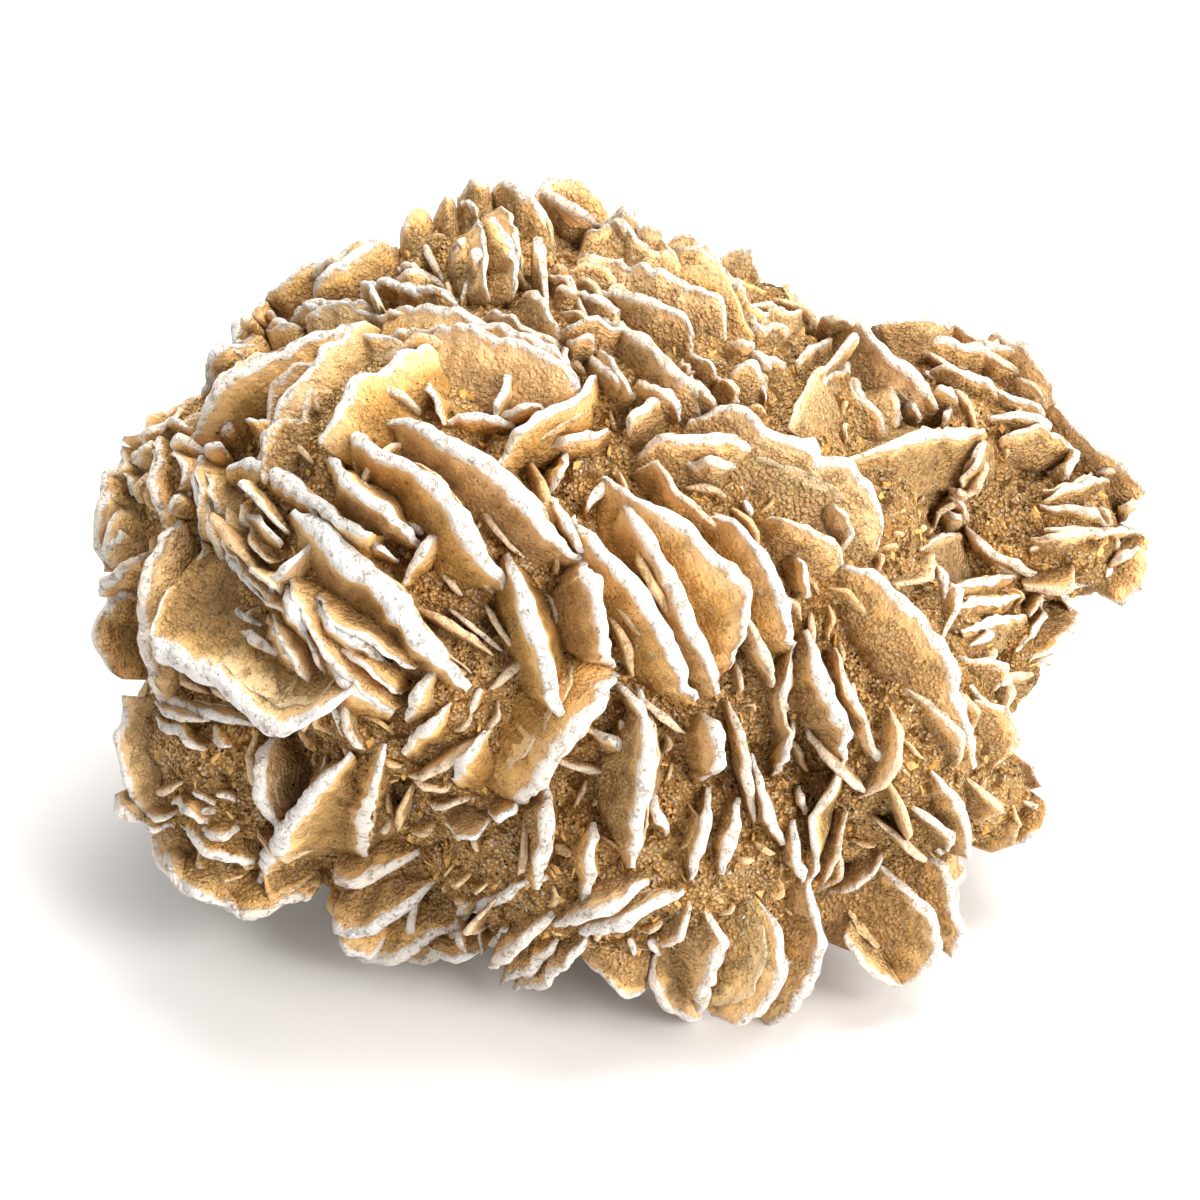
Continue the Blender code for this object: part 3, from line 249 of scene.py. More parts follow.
TOP_RIGHT = (
    (1.1, 4, 0.1, 0, 3.5, 60, 22.3, 62, 22.2, 65, 24.5),
    (1.1, 4, 0.1, -0.5, 3.5, 64, 26, 66.5, 25.2, 68.2, 27.5),
    (1.1, 4, 0.1, -0.5, 3.5, 68, 25.5, 70, 24.8, 72.2, 26.2, 74.2, 29),
    (1.2, 5, 0.1, -0.5, 3.5, 60, 26.2, 64, 26.2, 68.5, 28, 72, 30, 72.8, 33),
    (1.1, 5, 0.1, -0.5, 3, 60, 29.2, 63, 29.2, 68, 31.5, 69.5, 34.5),
    (1.1, 5, 0.1, -1, 3.5, 60, 31.6, 64, 33.5, 66.5, 36, 69, 38, 70, 41.2),
    (1, 4, 0.1, -1, 3, 59, 35.2, 62, 38, 63, 39.5),
    (1, 4, 0.1, -1, 2.5, 68.5, 37.2, 70, 39, 71.2, 40.8),
    (1, 4, 0.1, -0.5, 3, 72.2, 29.7, 74, 28, 74.5, 30),
    (1, 4, 0.1, -0.5, 3, 74.5, 32, 76, 31.5, 78.5, 33.5),
    (1, 4, 0.1, 0, 3, 76, 31, 78.5, 30.8, 80.5, 32.2),
    (1, 4, 0.1, -0.5, 2.5, 74, 34.5, 76.5, 36, 78.5, 36.5),
    (1.3, 6, 0.1, -2, 3.5, 69, 41.8, 74, 40.5, 77.5, 43, 83, 45, 86.5, 47.5, 88.5, 51.5, 88, 54.5),
    (1.1, 5, 0.1, -1.5, 3, 64, 45.5, 66, 44, 72, 43.6, 77.5, 45.5),
    (0.9, 4, 0.1, -0.5, 2.5, 68, 46, 71, 45.8, 74, 46.2),
    (0.9, 4, 0.1, -1.5, 2, 83.3, 49.9, 84.8, 51.5, 85.2, 53, 84.5, 54.8),
)
RIGHT_UPPER = (
    (1.1, 5, 0.1, -2, 3, 84.5, 31.8, 86.2, 32.2, 87.8, 34, 90.5, 36.5, 92, 38, 93.8, 41),
    (1, 4, 0.1, 2.5, 2, 79, 43, 80, 40, 82.5, 37, 86.2, 34.8),
    (0.9, 4, 0.1, -1.5, 1.5, 85, 37.5, 87, 40.3, 88.5, 43),
    (0.9, 4, 0.1, -1.5, 1.5, 88.8, 38, 90.3, 42),
    (1, 4, 0.1, 0.5, 3, 88, 32.5, 91, 31.5, 96, 32.5),
    (1, 4, 0.1, 0, 3, 90.5, 35, 93.5, 33.7, 96.5, 34.5, 101, 33.5),
    (0.9, 4, 0.1, 0, 2.5, 92.5, 35.5, 96, 37, 98.5, 37.8, 101, 40),
    (1, 4, 0.1, -1.5, 3, 99, 33.5, 101, 33.6, 104.5, 37, 106, 40),
)
RIGHT_LOBE = (
    (1.3, 5, 0.1, 0.5, 2, 85, 46, 88, 44.8, 94, 43.2, 98.5, 43),
    (0.9, 3, 0.1, 1, 1.5, 98.5, 44, 97.5, 45.8, 96.5, 47.5),
    (1, 3, 0.1, -1, 2, 105.5, 40.5, 109, 43, 113, 46.5, 115, 49),
    (0.9, 3, 0.1, 0, 1.5, 104, 50.5, 109, 51, 111, 52),
    (1, 3, 0.1, 0, 1.5, 104.5, 53.3, 110, 53, 114.5, 53),
    (0.9, 3, 0.1, 0, 1.5, 103, 55, 108.5, 53.7),
    (1, 4, 0.1, -0.5, 1.5, 96.5, 52.5, 98.5, 54.5, 101, 56, 106, 59.5),
    (0.9, 3, 0.1, 0, 1.5, 95, 58.7, 101.5, 57.5),
    (0.9, 3, 0.1, 0, 1.5, 94.5, 60.5, 102.5, 59.7),
    (0.9, 3, 0.1, 0, 1.5, 96, 63, 102.5, 61.3),
    (1, 3, 0.1, -3, -1, 108, 61.5, 106, 64.5, 103.5, 66.3),
    (1, 3, 0.1, -2.5, -2, 115, 54, 115, 58.5, 112.5, 60.4, 110.2, 59.7),
)
# Slivers: small blades between the large ones. Each row: how far it stands out, the step (x, y)
# to its root, then its rim's points x, y.
SLIVERS = (
    (3, -1, 1, 80, 48, 81.5, 49),
    (3, -1, 1, 82, 48.7, 82.8, 49.5),
    (4, -1, 1, 74.5, 50, 75.2, 51.5),
    (4, -1, 1, 64, 57, 65.5, 59.5),
    (3, -1, 1, 40.8, 51.7, 42.2, 53.5),
    (4, -1, 1, 60.5, 47.5, 58.5, 51),
    (4, 1, 2, 31.2, 28, 35, 24.7),
    (4, 0, 2, 30.5, 31.8, 33, 30, 38.5, 31.8),
    (3, 1.5, 1, 13, 49.5, 12.3, 46.8),
    (3, 1, 1, 17.5, 50.5, 19, 49),
    (3, 2, 1, 20.7, 48, 21.5, 51, 22.2, 52),
    (3, 1, 1.5, 28.5, 68.3, 30, 67.2),
    (3, 1, 1.5, 29, 69.5, 32.5, 67.5),
    (3, 1.5, 1, 13.1, 77.6, 14, 76.5, 15.2, 76.3, 15.3, 79.8),
    (3, 0.5, -1.5, 14.5, 81.2, 16, 81.7, 17.5, 81.3),
    (3, 0.5, -1.5, 14.2, 82, 15, 82.8, 17.5, 82.5),
    (3, 0.5, -1.5, 19.2, 79.3, 21.5, 80.5),
    (3, 0.5, -1.5, 19.7, 81, 21.5, 81.5),
    (3, 0.5, -1.5, 20.2, 83.5, 22, 84, 23.5, 83.5),
    (3, 0.5, -1.5, 21.6, 79.5, 23.5, 80.2),
    (3, 0.5, -1.5, 15.5, 70.5, 16.5, 71.3, 19, 71.8, 21, 72),
    (3, 0.5, -1.5, 15.5, 72, 16.5, 72.8, 18, 73, 18.5, 74, 20.5, 75),
    (3, 1, -1.5, 21.3, 72.7, 21.8, 74.5, 23, 74.8),
    (2.5, 0.5, -2, 20.5, 90.5, 22.5, 90.7, 24, 91.8, 25.8, 91.8),
    (2.5, 2, -1, 16.5, 85.2, 17, 87, 18, 89, 19.5, 89.7),
    (2.5, 1.5, -1, 20.3, 86.5, 20.5, 88, 21.5, 89.5, 22.5, 89.8),
    (2.5, 1.5, -1, 18.3, 86, 19.2, 87.5, 19.5, 89.5),
    (3, 1, 1, 33, 70.5, 34, 73.5),
    (2.5, 0, -2, 43.8, 92, 44.5, 92.8),
    (2.5, -0.5, -2, 45.5, 91.5, 45.2, 94),
    (2.5, -0.5, -2, 46, 92, 45.7, 94.5, 46.5, 95.2),
    (2.5, -0.5, -2, 47.8, 93, 48, 95.5),
    (2.5, 1, -1, 41.5, 90.5, 41, 93, 40.5, 94.5),
    (4, 0, -2, 44.5, 82.5, 46.5, 83.8, 47.5, 83.8, 49, 82.2),
    (4, 0, -2, 49, 81.5, 50, 82.2, 51.5, 81.5, 52, 80.5),
    (3, -1, 0.5, 62, 72, 62.7, 74),
    (3, -1, 0, 80.3, 78.5, 80.5, 80, 80.6, 81.5),
    (3, -1.5, 0, 81.3, 82.5, 81.8, 85, 81.8, 87.5, 81.2, 88.5, 81.5, 90.5, 81.8, 93, 81, 96),
    (3, 0.5, -1.5, 50, 94, 51, 93),
    (3, 0.5, -1.5, 58.8, 93.8, 57.5, 95.5, 56, 96.3),
    (2.5, 1, -1, 62.8, 94, 63.5, 95.5),
    (2.5, 1, -1, 65, 94, 65.5, 95.8),
    (3, -1.5, 0, 74.5, 91.5, 75.9, 94.5),
    (3, -1.5, 0, 74.2, 94, 73.8, 95.5, 73, 97.8),
    (3, -1.5, -1, 88, 86.8, 89, 88, 90.5, 89),
    (3, -1.5, -1, 87.8, 88, 88.2, 89.7),
    (3, -1.5, -1, 90.5, 88, 91.8, 90),
    (3, -1.5, -1, 92.8, 88, 94.5, 90, 95.5, 91.5, 96, 94),
    (3, 0, 2, 85, 90, 88, 89.5, 91, 90),
    (2.5, -2, 0.5, 100.5, 73.5, 102.5, 75.5, 104.5, 78.5),
    (2.5, -2, -1.5, 105, 80.5, 105, 82, 104, 83.5, 101.5, 84.4),
    (4, 0, 2, 46.2, 20.5, 46.8, 20, 48, 22.5),
    (4, 0, 2, 47, 23.5, 47.8, 22.2, 48.3, 23.5),
    (4, 0.5, 2, 41, 29.2, 43, 28.8, 45.5, 30),
    (5, -1.5, 1, 48, 23.5, 50, 20.8, 51.8, 26, 51.5, 30),
    (4, -0.5, 2, 73.5, 36.5, 75.5, 36.2, 76.5, 40),
    (3, -1, 1, 72, 37.5, 73.5, 38.8, 74, 40.2),
    (4, -1, 1.5, 64, 38.5, 67.5, 40, 68, 42),
    (4, -1.5, 1.5, 78, 45, 81, 44, 83, 48),
    (3, -1, 1, 90.5, 40, 92.2, 42),
    (3, -1, 1, 85.8, 39.8, 86.8, 42),
    (3, 0, 1.5, 92.5, 37, 96.3, 37.8),
    (3, 0, 1.5, 94, 39.3, 95.7, 40.3),
    (2.5, -1, 0.5, 106.5, 44, 107.5, 46, 107, 48),
    (2.5, 0, 1.2, 112, 51, 114, 50.2),
    (2.5, 0, 1.2, 111.5, 56.3, 114, 55),
    (2.5, -1, 0.5, 104.5, 60, 104.5, 62, 102.5, 64.5),
    (2.5, -1, 0.5, 106, 59, 107.2, 61),
)

# Overlapping scales drawn on the sheet, each with its face bared as far as the next one. Each row:
# how far the middle of the rim stands out, the step (x, y) from its chord to the root, then the
# rim's points x, y.
LEFT_SCALES = (
    (3.5, 4, 2.5, 13, 46.6, 13.1, 45.6, 13.6, 45.2, 14.6, 44.5, 15.3, 44.2),
    (4, 5.5, 0.5, 15.1, 43.5, 15.7, 44.6, 15.4, 45.6, 14.9, 47.6, 15.3, 48.7, 15.4, 49.7, 16.1, 51.5,
     16.8, 53.1),
    (3.5, 4, 0.5, 12.3, 47, 12.7, 48, 13, 49, 13.2, 49.6),
    (3.5, 4, 1, 10.6, 48.7, 11.1, 49.8, 11.3, 50.4, 11.5, 50.8),
    (4, 5, 1, 12.6, 50, 11.9, 50.5, 11.3, 51.4, 10.6, 52.4, 10.3, 53.6, 10.3, 55.3, 10.6, 56.7),
    (4, 5, 1.5, 12.7, 52.7, 11.9, 53.1, 11.5, 53.8, 11, 54.5, 10.7, 55.3, 11, 56.7),
    (4, 5, 0.5, 17.5, 44.8, 17.8, 46, 18.4, 47, 18.4, 47.9, 18.1, 49),
    (3.5, 4, 1.5, 18.2, 49.3, 17.5, 50, 17.2, 50.8, 17.6, 51.6),
    (4.5, 5, 0.5, 20, 46, 19.5, 47, 19.6, 47.9, 19.8, 50.1, 19.6, 51.5, 19.8, 52.4, 20, 53.5, 20.6,
     54.2),
    (4.5, 5, 0, 20.1, 47, 20.5, 47.6, 20.9, 48.4, 20.6, 49, 21.3, 50.7, 21.9, 51.5, 22.5, 52.4),
    (4, 4.5, -0.5, 12, 67.9, 10.7, 66.8, 9.8, 65.4, 9.1, 63.6, 9.3, 62.5, 10.3, 60.8, 11.7, 59.8, 14,
     58.3),
    (4, 3, 3, 9.9, 58.9, 10.6, 57.7, 12, 56.5, 13.4, 55.9, 14.8, 55.3),
    (3.5, 3, 3, 10.7, 59.9, 12.2, 59.2, 13.6, 58.4),
    (4.5, 4, 2, 18.3, 58.2, 18.2, 57.3, 19.2, 56.2, 19.8, 54.9, 20.3, 54.1),
    (4, 4, 1, 21.2, 58.9, 21.2, 57.7, 21.3, 56.3, 22.2, 55.5),
    (4, 2, 3, 20.5, 45.5, 20.8, 44.5, 21.4, 44.2, 22.6, 44.8),
    (4, 2, 3, 22.5, 43.6, 22.4, 43, 22.8, 42.4, 23.6, 42.2),
    (5, 1.5, 3.5, 23.8, 41.7, 24.8, 41.8, 25.9, 41.9, 27, 41.8),
    (3.5, 4, 3, 12.1, 44, 12.5, 42.8, 14, 41.5, 15.8, 40.8),
    (3.5, 2, 3, 16.5, 42.2, 17.2, 41.8, 18, 42.3, 19, 42.7),
    (3.5, 4, 1.5, 12, 45.5, 11.6, 46.5, 10.9, 47.2, 10.2, 48.5),
)
ZIGZAG_SCALES = (
    (4.5, 3, -0.5, 20, 48.8, 20.6, 50.5, 20.4, 52.4, 20.9, 54.3, 21.8, 55.8, 22.9, 57.4),
    (5.5, 3, -0.8, 21.8, 49.4, 22.6, 51.1, 22.3, 52.9, 22.6, 54.9, 23.8, 56.4, 25, 58.2, 26.2, 59.6,
     27.6, 60.8, 29.1, 61.7, 30.6, 62.6),
    (5.5, 2.5, -1.5, 28.8, 57.9, 29.4, 60.8, 30.3, 62.3, 31.4, 63.7, 32.3, 65.5, 33.8, 67.3, 35.3, 68.4,
     37.6, 70.2, 39.4, 71.1),
    (5.5, 2, -1.5, 31.4, 59.9, 32.6, 61.4, 34.1, 62.6, 36.4, 64, 38.8, 65.8, 41.4, 67),
    (5, 3, -1.5, 22.9, 59.3, 23.5, 61.1, 25, 62.3, 26.7, 63.7, 27.9, 65.2, 29.1, 66.4, 30.9, 67.8),
    (5, 2.5, -1, 27.3, 61.4, 27.9, 64, 29.1, 65.5, 30.3, 67.3, 31.2, 68.4),
    (4.5, 3, -1.5, 21.5, 59.3, 22.2, 61.2, 23.5, 62.6, 25.3, 64.3, 27, 65.5),
    (4.2, 3, -1.5, 20, 59.3, 21.2, 60.8, 22, 62, 24.1, 63.4, 25, 64.6),
    (4.5, 3, -0.5, 24.2, 50.2, 23.9, 51.8, 24.7, 53.4, 25.6, 55, 27, 56.2),
    (4.5, 2.5, -1, 24.6, 56.2, 25.6, 57.3, 27.2, 58.6, 28.2, 59.4),
    (5, 2, -1, 30, 62.6, 30.8, 64.2, 31.4, 65.9, 32.6, 67.6),
    (5, 2, -1.5, 33.4, 64.6, 35, 66, 36.6, 67, 38.6, 68.8, 40, 69.6),
)
UPPER_SCALES = (
    (4.5, 3, 3.5, 26.6, 30, 27, 29, 27.8, 28.3, 29, 27.8, 29.8, 27.1, 31, 26.4, 32.2, 26.1),
    (4.5, 1, 4.5, 31.3, 29.3, 31.8, 28.5, 33.1, 26.7, 34.6, 25.4, 36, 24.3, 37.1, 23.9, 39, 24.4, 39.7,
     24.7),
    (4, 1.5, 4, 31.3, 27.8, 32, 27, 33.5, 25.5, 34.6, 24.3, 36, 24),
    (4, 1, 3.5, 29.3, 31.8, 30, 30.8, 30.7, 29.8, 31.3, 29.5, 33, 29.5, 34, 29.3, 35.2, 30),
    (4, 0.5, 4, 30.5, 32.5, 30.7, 31.5, 31, 30.9, 32.8, 30.3, 33.7, 30, 35.2, 30.2, 36.2, 30.1, 37.6,
     31.2),
    (6, 1.5, 3, 36.1, 29.2, 36.4, 28.3, 36.9, 27.8, 37.4, 29, 38, 30.2, 38.6, 31.3),
    (4, 0.5, 3.5, 26.2, 31.6, 26.6, 31.3, 27.2, 31.4, 27.8, 32),
    (4, 0.5, 4, 26.5, 33.6, 27, 33.1, 27.6, 32.7, 28.5, 32.4, 29.2, 32.3, 30.3, 32.9),
    (4.5, 1.5, 4, 26.8, 35.5, 27.5, 34.9, 28.3, 34.6, 29.3, 35.1, 30, 34.5, 31.2, 33.4, 32, 33, 34.5,
     32.6),
    (3.5, 2.5, 3, 25.2, 31.5, 25.8, 30.5, 26.4, 30.1),
    (3.5, 2.5, 3, 24, 32.5, 24.3, 31.9, 25.2, 31.6),
    (3.5, 2.5, 3, 23.7, 33.6, 24.3, 32.8, 25, 32.2, 25.8, 32.2),
    (3.5, 2, 3.5, 23.1, 34.6, 23.8, 34.1, 24.7, 33.6, 25.4, 33.3, 25.9, 34, 26.2, 35.2),
    (4, 2, 3.5, 21, 35, 21.5, 34.5, 22.2, 34.7, 23, 34.9, 23.8, 35.2, 24.6, 35.8),
    (3.5, 3.5, 2, 20.1, 37, 20.6, 36.2, 21.1, 35.2),
    (3.5, 3, 2, 20.1, 38.8, 20.6, 38.5, 21.2, 38.2, 22.2, 38),
    (5, 5, 3.5, 20.2, 42.5, 20.5, 41, 21.2, 39.3, 22.4, 37.6, 23.8, 36.2, 25.5, 35.7, 27, 35.4),
    (4, 2.5, 3, 22.3, 43, 22.5, 42.4, 23.1, 42),
    (4.5, 0.5, 3.5, 35.8, 34, 36.6, 33.9, 37.8, 33.7, 39, 33.8, 40.2, 34.1, 41.2, 34.5),
    (4.5, 0.5, 3.5, 38.8, 33.5, 39.5, 33, 40.2, 32.7, 41, 32.8, 42, 32.5),
    (4, 0.5, 3.5, 37.5, 31.8, 38.5, 31.4, 40, 30.9, 41.2, 30.8, 42.5, 31.2),
)
TOP_SCALES = (
    (4, 0.5, 4, 46.3, 20, 47, 20.1, 47.5, 21, 48, 22.1),
    (4.5, -3.5, 1, 48.3, 21.5, 49.3, 20.7, 50.1, 20.5, 51, 21.2, 51.6, 23.7, 51.8, 26.1, 51.8, 28.5,
     51.5, 30.1),
    (4, -3, 1, 47.1, 23.4, 47.7, 22.3, 48, 22.9, 48.5, 24.2, 48.7, 25.5, 48.6, 27.4, 48.8, 29, 49.3,
     30.1),
    (4, 0, 4, 45.1, 26.8, 45.4, 25.2, 46.2, 23.8, 46.9, 25.8),
    (4, 0, 3.5, 46.7, 26.9, 47.3, 25.5, 48.3, 25),
    (3.5, 0, 3, 46.1, 29.3, 46.5, 27.7, 47.2, 27.6),
    (4, 0, 4, 39.9, 28.8, 40, 27.1, 41.2, 26.6, 42, 27.1, 43.2, 27.6),
    (4, 0, 3, 40.8, 29.2, 42.2, 28.8, 43.8, 28.9, 45.4, 29.5),
    (4.5, 0, 4, 39, 31.4, 40, 30.9, 41.9, 30.8, 43.8, 30.4, 45.1, 30.8, 46.5, 31.4, 48, 32, 49.9, 33,
     50.9, 33.6),
    (4.5, 0, 4, 48.3, 31.4, 49.9, 31.2, 51.2, 31.6, 52.3, 32.4, 53.7, 33.3, 55, 34.1, 56, 34.6),
    (5, 0, 4, 39, 33.3, 40, 32.8, 41.2, 32.7, 42.2, 32.5, 43.8, 32.2, 45.7, 32.3, 47, 32.5),
    (5, -1, 4, 50.2, 33.8, 51.8, 33.6, 53.1, 34.9, 54.4, 36.2, 55.7, 37.2, 56.5, 38.3, 57.3, 38.9),
    (4.5, -2, 3, 56.1, 34.9, 56.8, 36, 57.4, 37.2, 58, 38.3),
    (4, -2, 3, 52.5, 29.5, 53.4, 29.3, 54.4, 30.1, 55, 31.2, 55.7, 32.4, 56.1, 33.8),
    (4, -1, 3, 55.7, 29, 56.5, 28.7, 57.4, 29, 58.1, 29.8),
    (4.5, -1, 4, 56, 33, 57.4, 32.2, 58.9, 31.7, 60, 31.6, 61.1, 31.9, 62.1, 32.5, 63.2, 33.3),
    (4, -1, 3.5, 57.9, 29, 59, 29.6, 60.1, 30.1, 61.4, 30.8, 62.2, 31.4),
    (4.5, -2, 3, 60, 34.9, 61, 35.7, 61.8, 37.3, 62.7, 38.9, 63.4, 39.7),
    (4, -1, 3, 56.6, 34.3, 57.9, 34, 58.4, 33.6, 58.9, 33.8, 59.5, 34.9),
    (4, -0.5, 4, 58.2, 23.7, 59.4, 22.9, 60.6, 22.4, 61.9, 22.2, 62.7, 22.6, 63.7, 23.4),
    (4, -0.5, 3.5, 57.7, 25.6, 58.7, 25.3, 59.8, 25.8, 61.4, 26.1, 63, 26.1),
)
RIGHT_SCALES = (
    (3.5, -0.5, 4, 63.6, 22.8, 64.3, 22.5, 65.2, 22.4, 65.7, 22.5, 66.3, 23.6),
    (4, -1, 4, 62, 22.3, 62.6, 22.5, 63.2, 23.2, 64, 23.8, 64.8, 24.3, 65.2, 24.8),
    (4, -1, 3.5, 63.8, 25.8, 64.9, 25, 66, 25.1, 66.8, 25.5, 67.3, 26.5, 67.5, 27),
    (4, -1.5, 3.5, 65.8, 23.8, 66.6, 24.5, 67.4, 25.1, 67.9, 26.2, 68.5, 27.5),
    (4.5, -1, 4, 67.9, 25.5, 68.8, 25, 69.7, 24.8, 70.6, 24.9, 71.4, 25.2, 72, 26, 72.4, 27.2),
    (3.5, -1, 3.5, 67.5, 24.8, 68.6, 24.5, 69.7, 24.2, 70.4, 24.3, 70.9, 25.1),
    (4, -0.5, 3, 72.1, 26.2, 72.8, 26.2, 73.4, 26.8, 74, 27.7, 74.2, 28.3),
    (4, 1, 3, 71.8, 29.5, 72.6, 29.2, 73.4, 28.6, 74, 28),
    (4, -1.5, 3, 74.2, 28.3, 74.5, 29.2, 74.9, 30.2, 75.8, 30.8, 76.8, 31.4),
    (4, -1, 3, 76.5, 30.8, 77.4, 30.5, 78.5, 30.8, 79.5, 31.4, 80.8, 32.3),
    (4, -2, 3, 74.9, 31.4, 75.5, 31.1, 76.3, 31.7, 77.1, 32.3, 78, 32.5, 78.6, 33.1, 78.8, 33.7),
    (4, -1, 3.5, 72.8, 33.8, 74.2, 33.9, 75.1, 34.2, 75.5, 34.9),
    (4, -1, 3, 75.5, 34.9, 76.5, 35.7, 77.5, 35.8, 78.6, 36.6),
    (4.5, -2, 3, 73.1, 37.7, 73.4, 36.6, 74.8, 36.2, 75.8, 36.6, 76.5, 37.7, 76.8, 38.8),
    (4, -2, 2, 72.2, 37.7, 72.9, 37.8, 73.5, 38.8, 73.9, 40),
    (4.5, -1.5, 3, 62, 29.2, 62.9, 29.1, 63.7, 29.5, 64.5, 30.3, 65.2, 31.1),
    (4.5, -2, 2.5, 65.2, 31.1, 66.6, 31.1, 67.5, 31.5, 68.5, 32.2, 69.1, 32.9, 69.4, 33.8),
    (4, -2, 2.5, 69.4, 34.8, 70, 35.5, 71.2, 36.2, 71.8, 36.8, 72.1, 37.7),
    (4.5, -2, 2.5, 68.3, 36, 68.9, 36.6, 69.4, 37.4),
    (4.5, -2, 2.5, 69.5, 38.6, 70.3, 39.1, 71.1, 40, 71.5, 40.8),
    (5, -2, 3, 63.7, 38.2, 64.5, 38.5, 65.5, 38.8, 66.6, 39.4, 67.5, 40, 68, 40.8),
    (5, 1, 3, 62.9, 43.4, 63.4, 41.5, 64.3, 40.6, 65.5, 40, 66.6, 40.3),
    (4, 1, 3.5, 79.8, 36.2, 80.5, 35.5, 81.4, 34.6, 82.3, 34, 83.2, 33.7),
    (5, 3, 2.5, 78.8, 42.8, 79.4, 41.5, 80, 40, 80.6, 38.6, 81.4, 37.4, 82.3, 36.8, 83.2, 37.1),
    (4.5, 1, 3, 82.5, 38.3, 83.5, 37.1, 84.6, 36.8, 85.1, 35.7, 85.7, 35.2),
    (4, -1, 3, 82, 32, 83.1, 31.7, 84.2, 31.5, 85.1, 32, 86, 32.5),
    (4.5, -2.5, 2, 86, 38.9, 87.1, 40.2, 88, 41.4, 88.6, 43),
    (4.5, -2.5, 2, 88.3, 38, 89.4, 39.1, 89.9, 40.3, 90.3, 41.8),
    (4, -1.5, 1.2, 90.5, 40.1, 91.4, 40.5, 92.3, 41.8),
    (4.5, -1.5, 1.2, 91.9, 38, 92.8, 39.1, 93.4, 40.2, 93.7, 41),
    (4, -1.2, 1.5, 93.2, 39.8, 94.2, 38.8, 95.2, 39.4, 95.8, 40.2),
    (4.5, -0.6, 2.4, 98.9, 38, 100.2, 38.9, 101.3, 39.5, 102.2, 39.7, 103.2, 40, 104.5, 41.2, 104.8,
     41.9),
    (4, 1.5, 0.6, 101.4, 41.9, 101.6, 40.3, 102, 39.8),
    (4.5, -0.6, 2.4, 100, 43.7, 101.3, 43.2, 102.9, 42.8, 103.9, 42.3, 105.2, 43.2, 106.3, 43.9, 107, 45,
     107.4, 46.1),
    (4, -1.8, 0.9, 107, 44.6, 107.4, 46.1, 107.3, 47.2, 106.8, 48.1),
    (4.5, 1.5, 0.9, 95.8, 48.6, 96.2, 47.7, 97.1, 46.8, 97.8, 45.5, 98.4, 44.1),
    (4, 0, 2.1, 104.3, 49.8, 105.7, 48.9, 107.2, 48.2, 109.2, 47.9, 111, 47.8),
    (4, -0.6, 1.5, 95, 48.8, 96.1, 48.9, 96.9, 49.6),
    (4, -1.2, 1.2, 94.8, 49.7, 96.1, 50.2, 96.6, 51.3, 96.8, 52.4),
    (4, -0.9, 1.5, 94.2, 51.2, 95.3, 51.5, 96.6, 52.2),
    (3.5, 0.3, 1.8, 109.5, 50.7, 110.6, 51.1, 111.3, 51.6),
    (3.5, 0.3, 1.8, 111.8, 50.6, 112.9, 50.4, 114, 49.8),
    (4, 0.3, 1.8, 111.1, 56.3, 112.6, 55.8, 114, 54.7),
    (4, 0, 1.8, 103.1, 54.1, 105.7, 53.8, 108.6, 53.6),
    (4, 1.5, 1.5, 92.1, 55.2, 92.8, 54.3, 94.1, 53.6, 96.1, 53.4),
    (4, 1.5, 1.5, 89.6, 58.6, 91, 57.2, 92.3, 56.5, 93.9, 55.4),
    (4, -2, 1.5, 85, 37.8, 86, 39.4, 87.6, 41, 88.6, 42.6, 88.7, 43.9),
    (4, -2, 1.5, 87.4, 36.4, 89, 38.8, 89.8, 40.7, 90.3, 42.6),
    (3.5, 0, 1.5, 90.9, 35.4, 92.5, 33.8, 94.1, 34, 95.4, 35.4),
    (3.5, -0.3, 1.2, 92.2, 35.6, 93.5, 35.6, 95.1, 36.4, 96, 37),
    (3.5, -0.3, 1.3, 93, 37, 94.6, 36.8, 96.2, 37.4, 96.5, 38.3),
    (3.5, -0.6, 1.5, 96.8, 37.4, 98.6, 37.8, 100, 38.8, 101, 39.5, 101.8, 39.9),
    (3.5, -0.3, 1.3, 93.8, 39.4, 94.9, 39.1, 95.7, 40.2),
    (3.5, 0.3, 1.3, 94.1, 42.6, 94.6, 41.5, 95.1, 40.7),
    (3.5, -0.3, 1.5, 94.1, 32.7, 96.2, 32.7, 97.3, 33.2, 99.2, 33.8, 100.8, 34.6, 102.1, 35.6, 103.4,
     36.7),
    (3.5, -0.5, 1.5, 96.2, 34, 97.8, 34.8, 99.4, 35.1, 101, 36.4, 102.9, 38),
    (3.5, -0.5, 1.3, 101, 38, 102.4, 37.8, 103.7, 38.6, 104.8, 39.9),
    (3, 0, 2, 104, 45.8, 104.8, 47.1, 106, 46.7, 107.2, 46.1),
    (3, 0, 2, 104.2, 48.8, 106.4, 48.2, 108.3, 47.9, 109.3, 47.4),
    (3, 0, 2, 109.1, 47.1, 110.9, 46.6, 112.8, 47.4),
    (3, -0.3, 1.5, 107.5, 45, 109.6, 45.5, 111.5, 46.1, 113.4, 47.7),
    (3.5, -1, -1, 102.9, 61.6, 103.7, 60.5, 104.5, 59.5),
    (3.5, -0.9, -0.9, 101.6, 65.1, 103.4, 63.2, 104.4, 61.3),
)
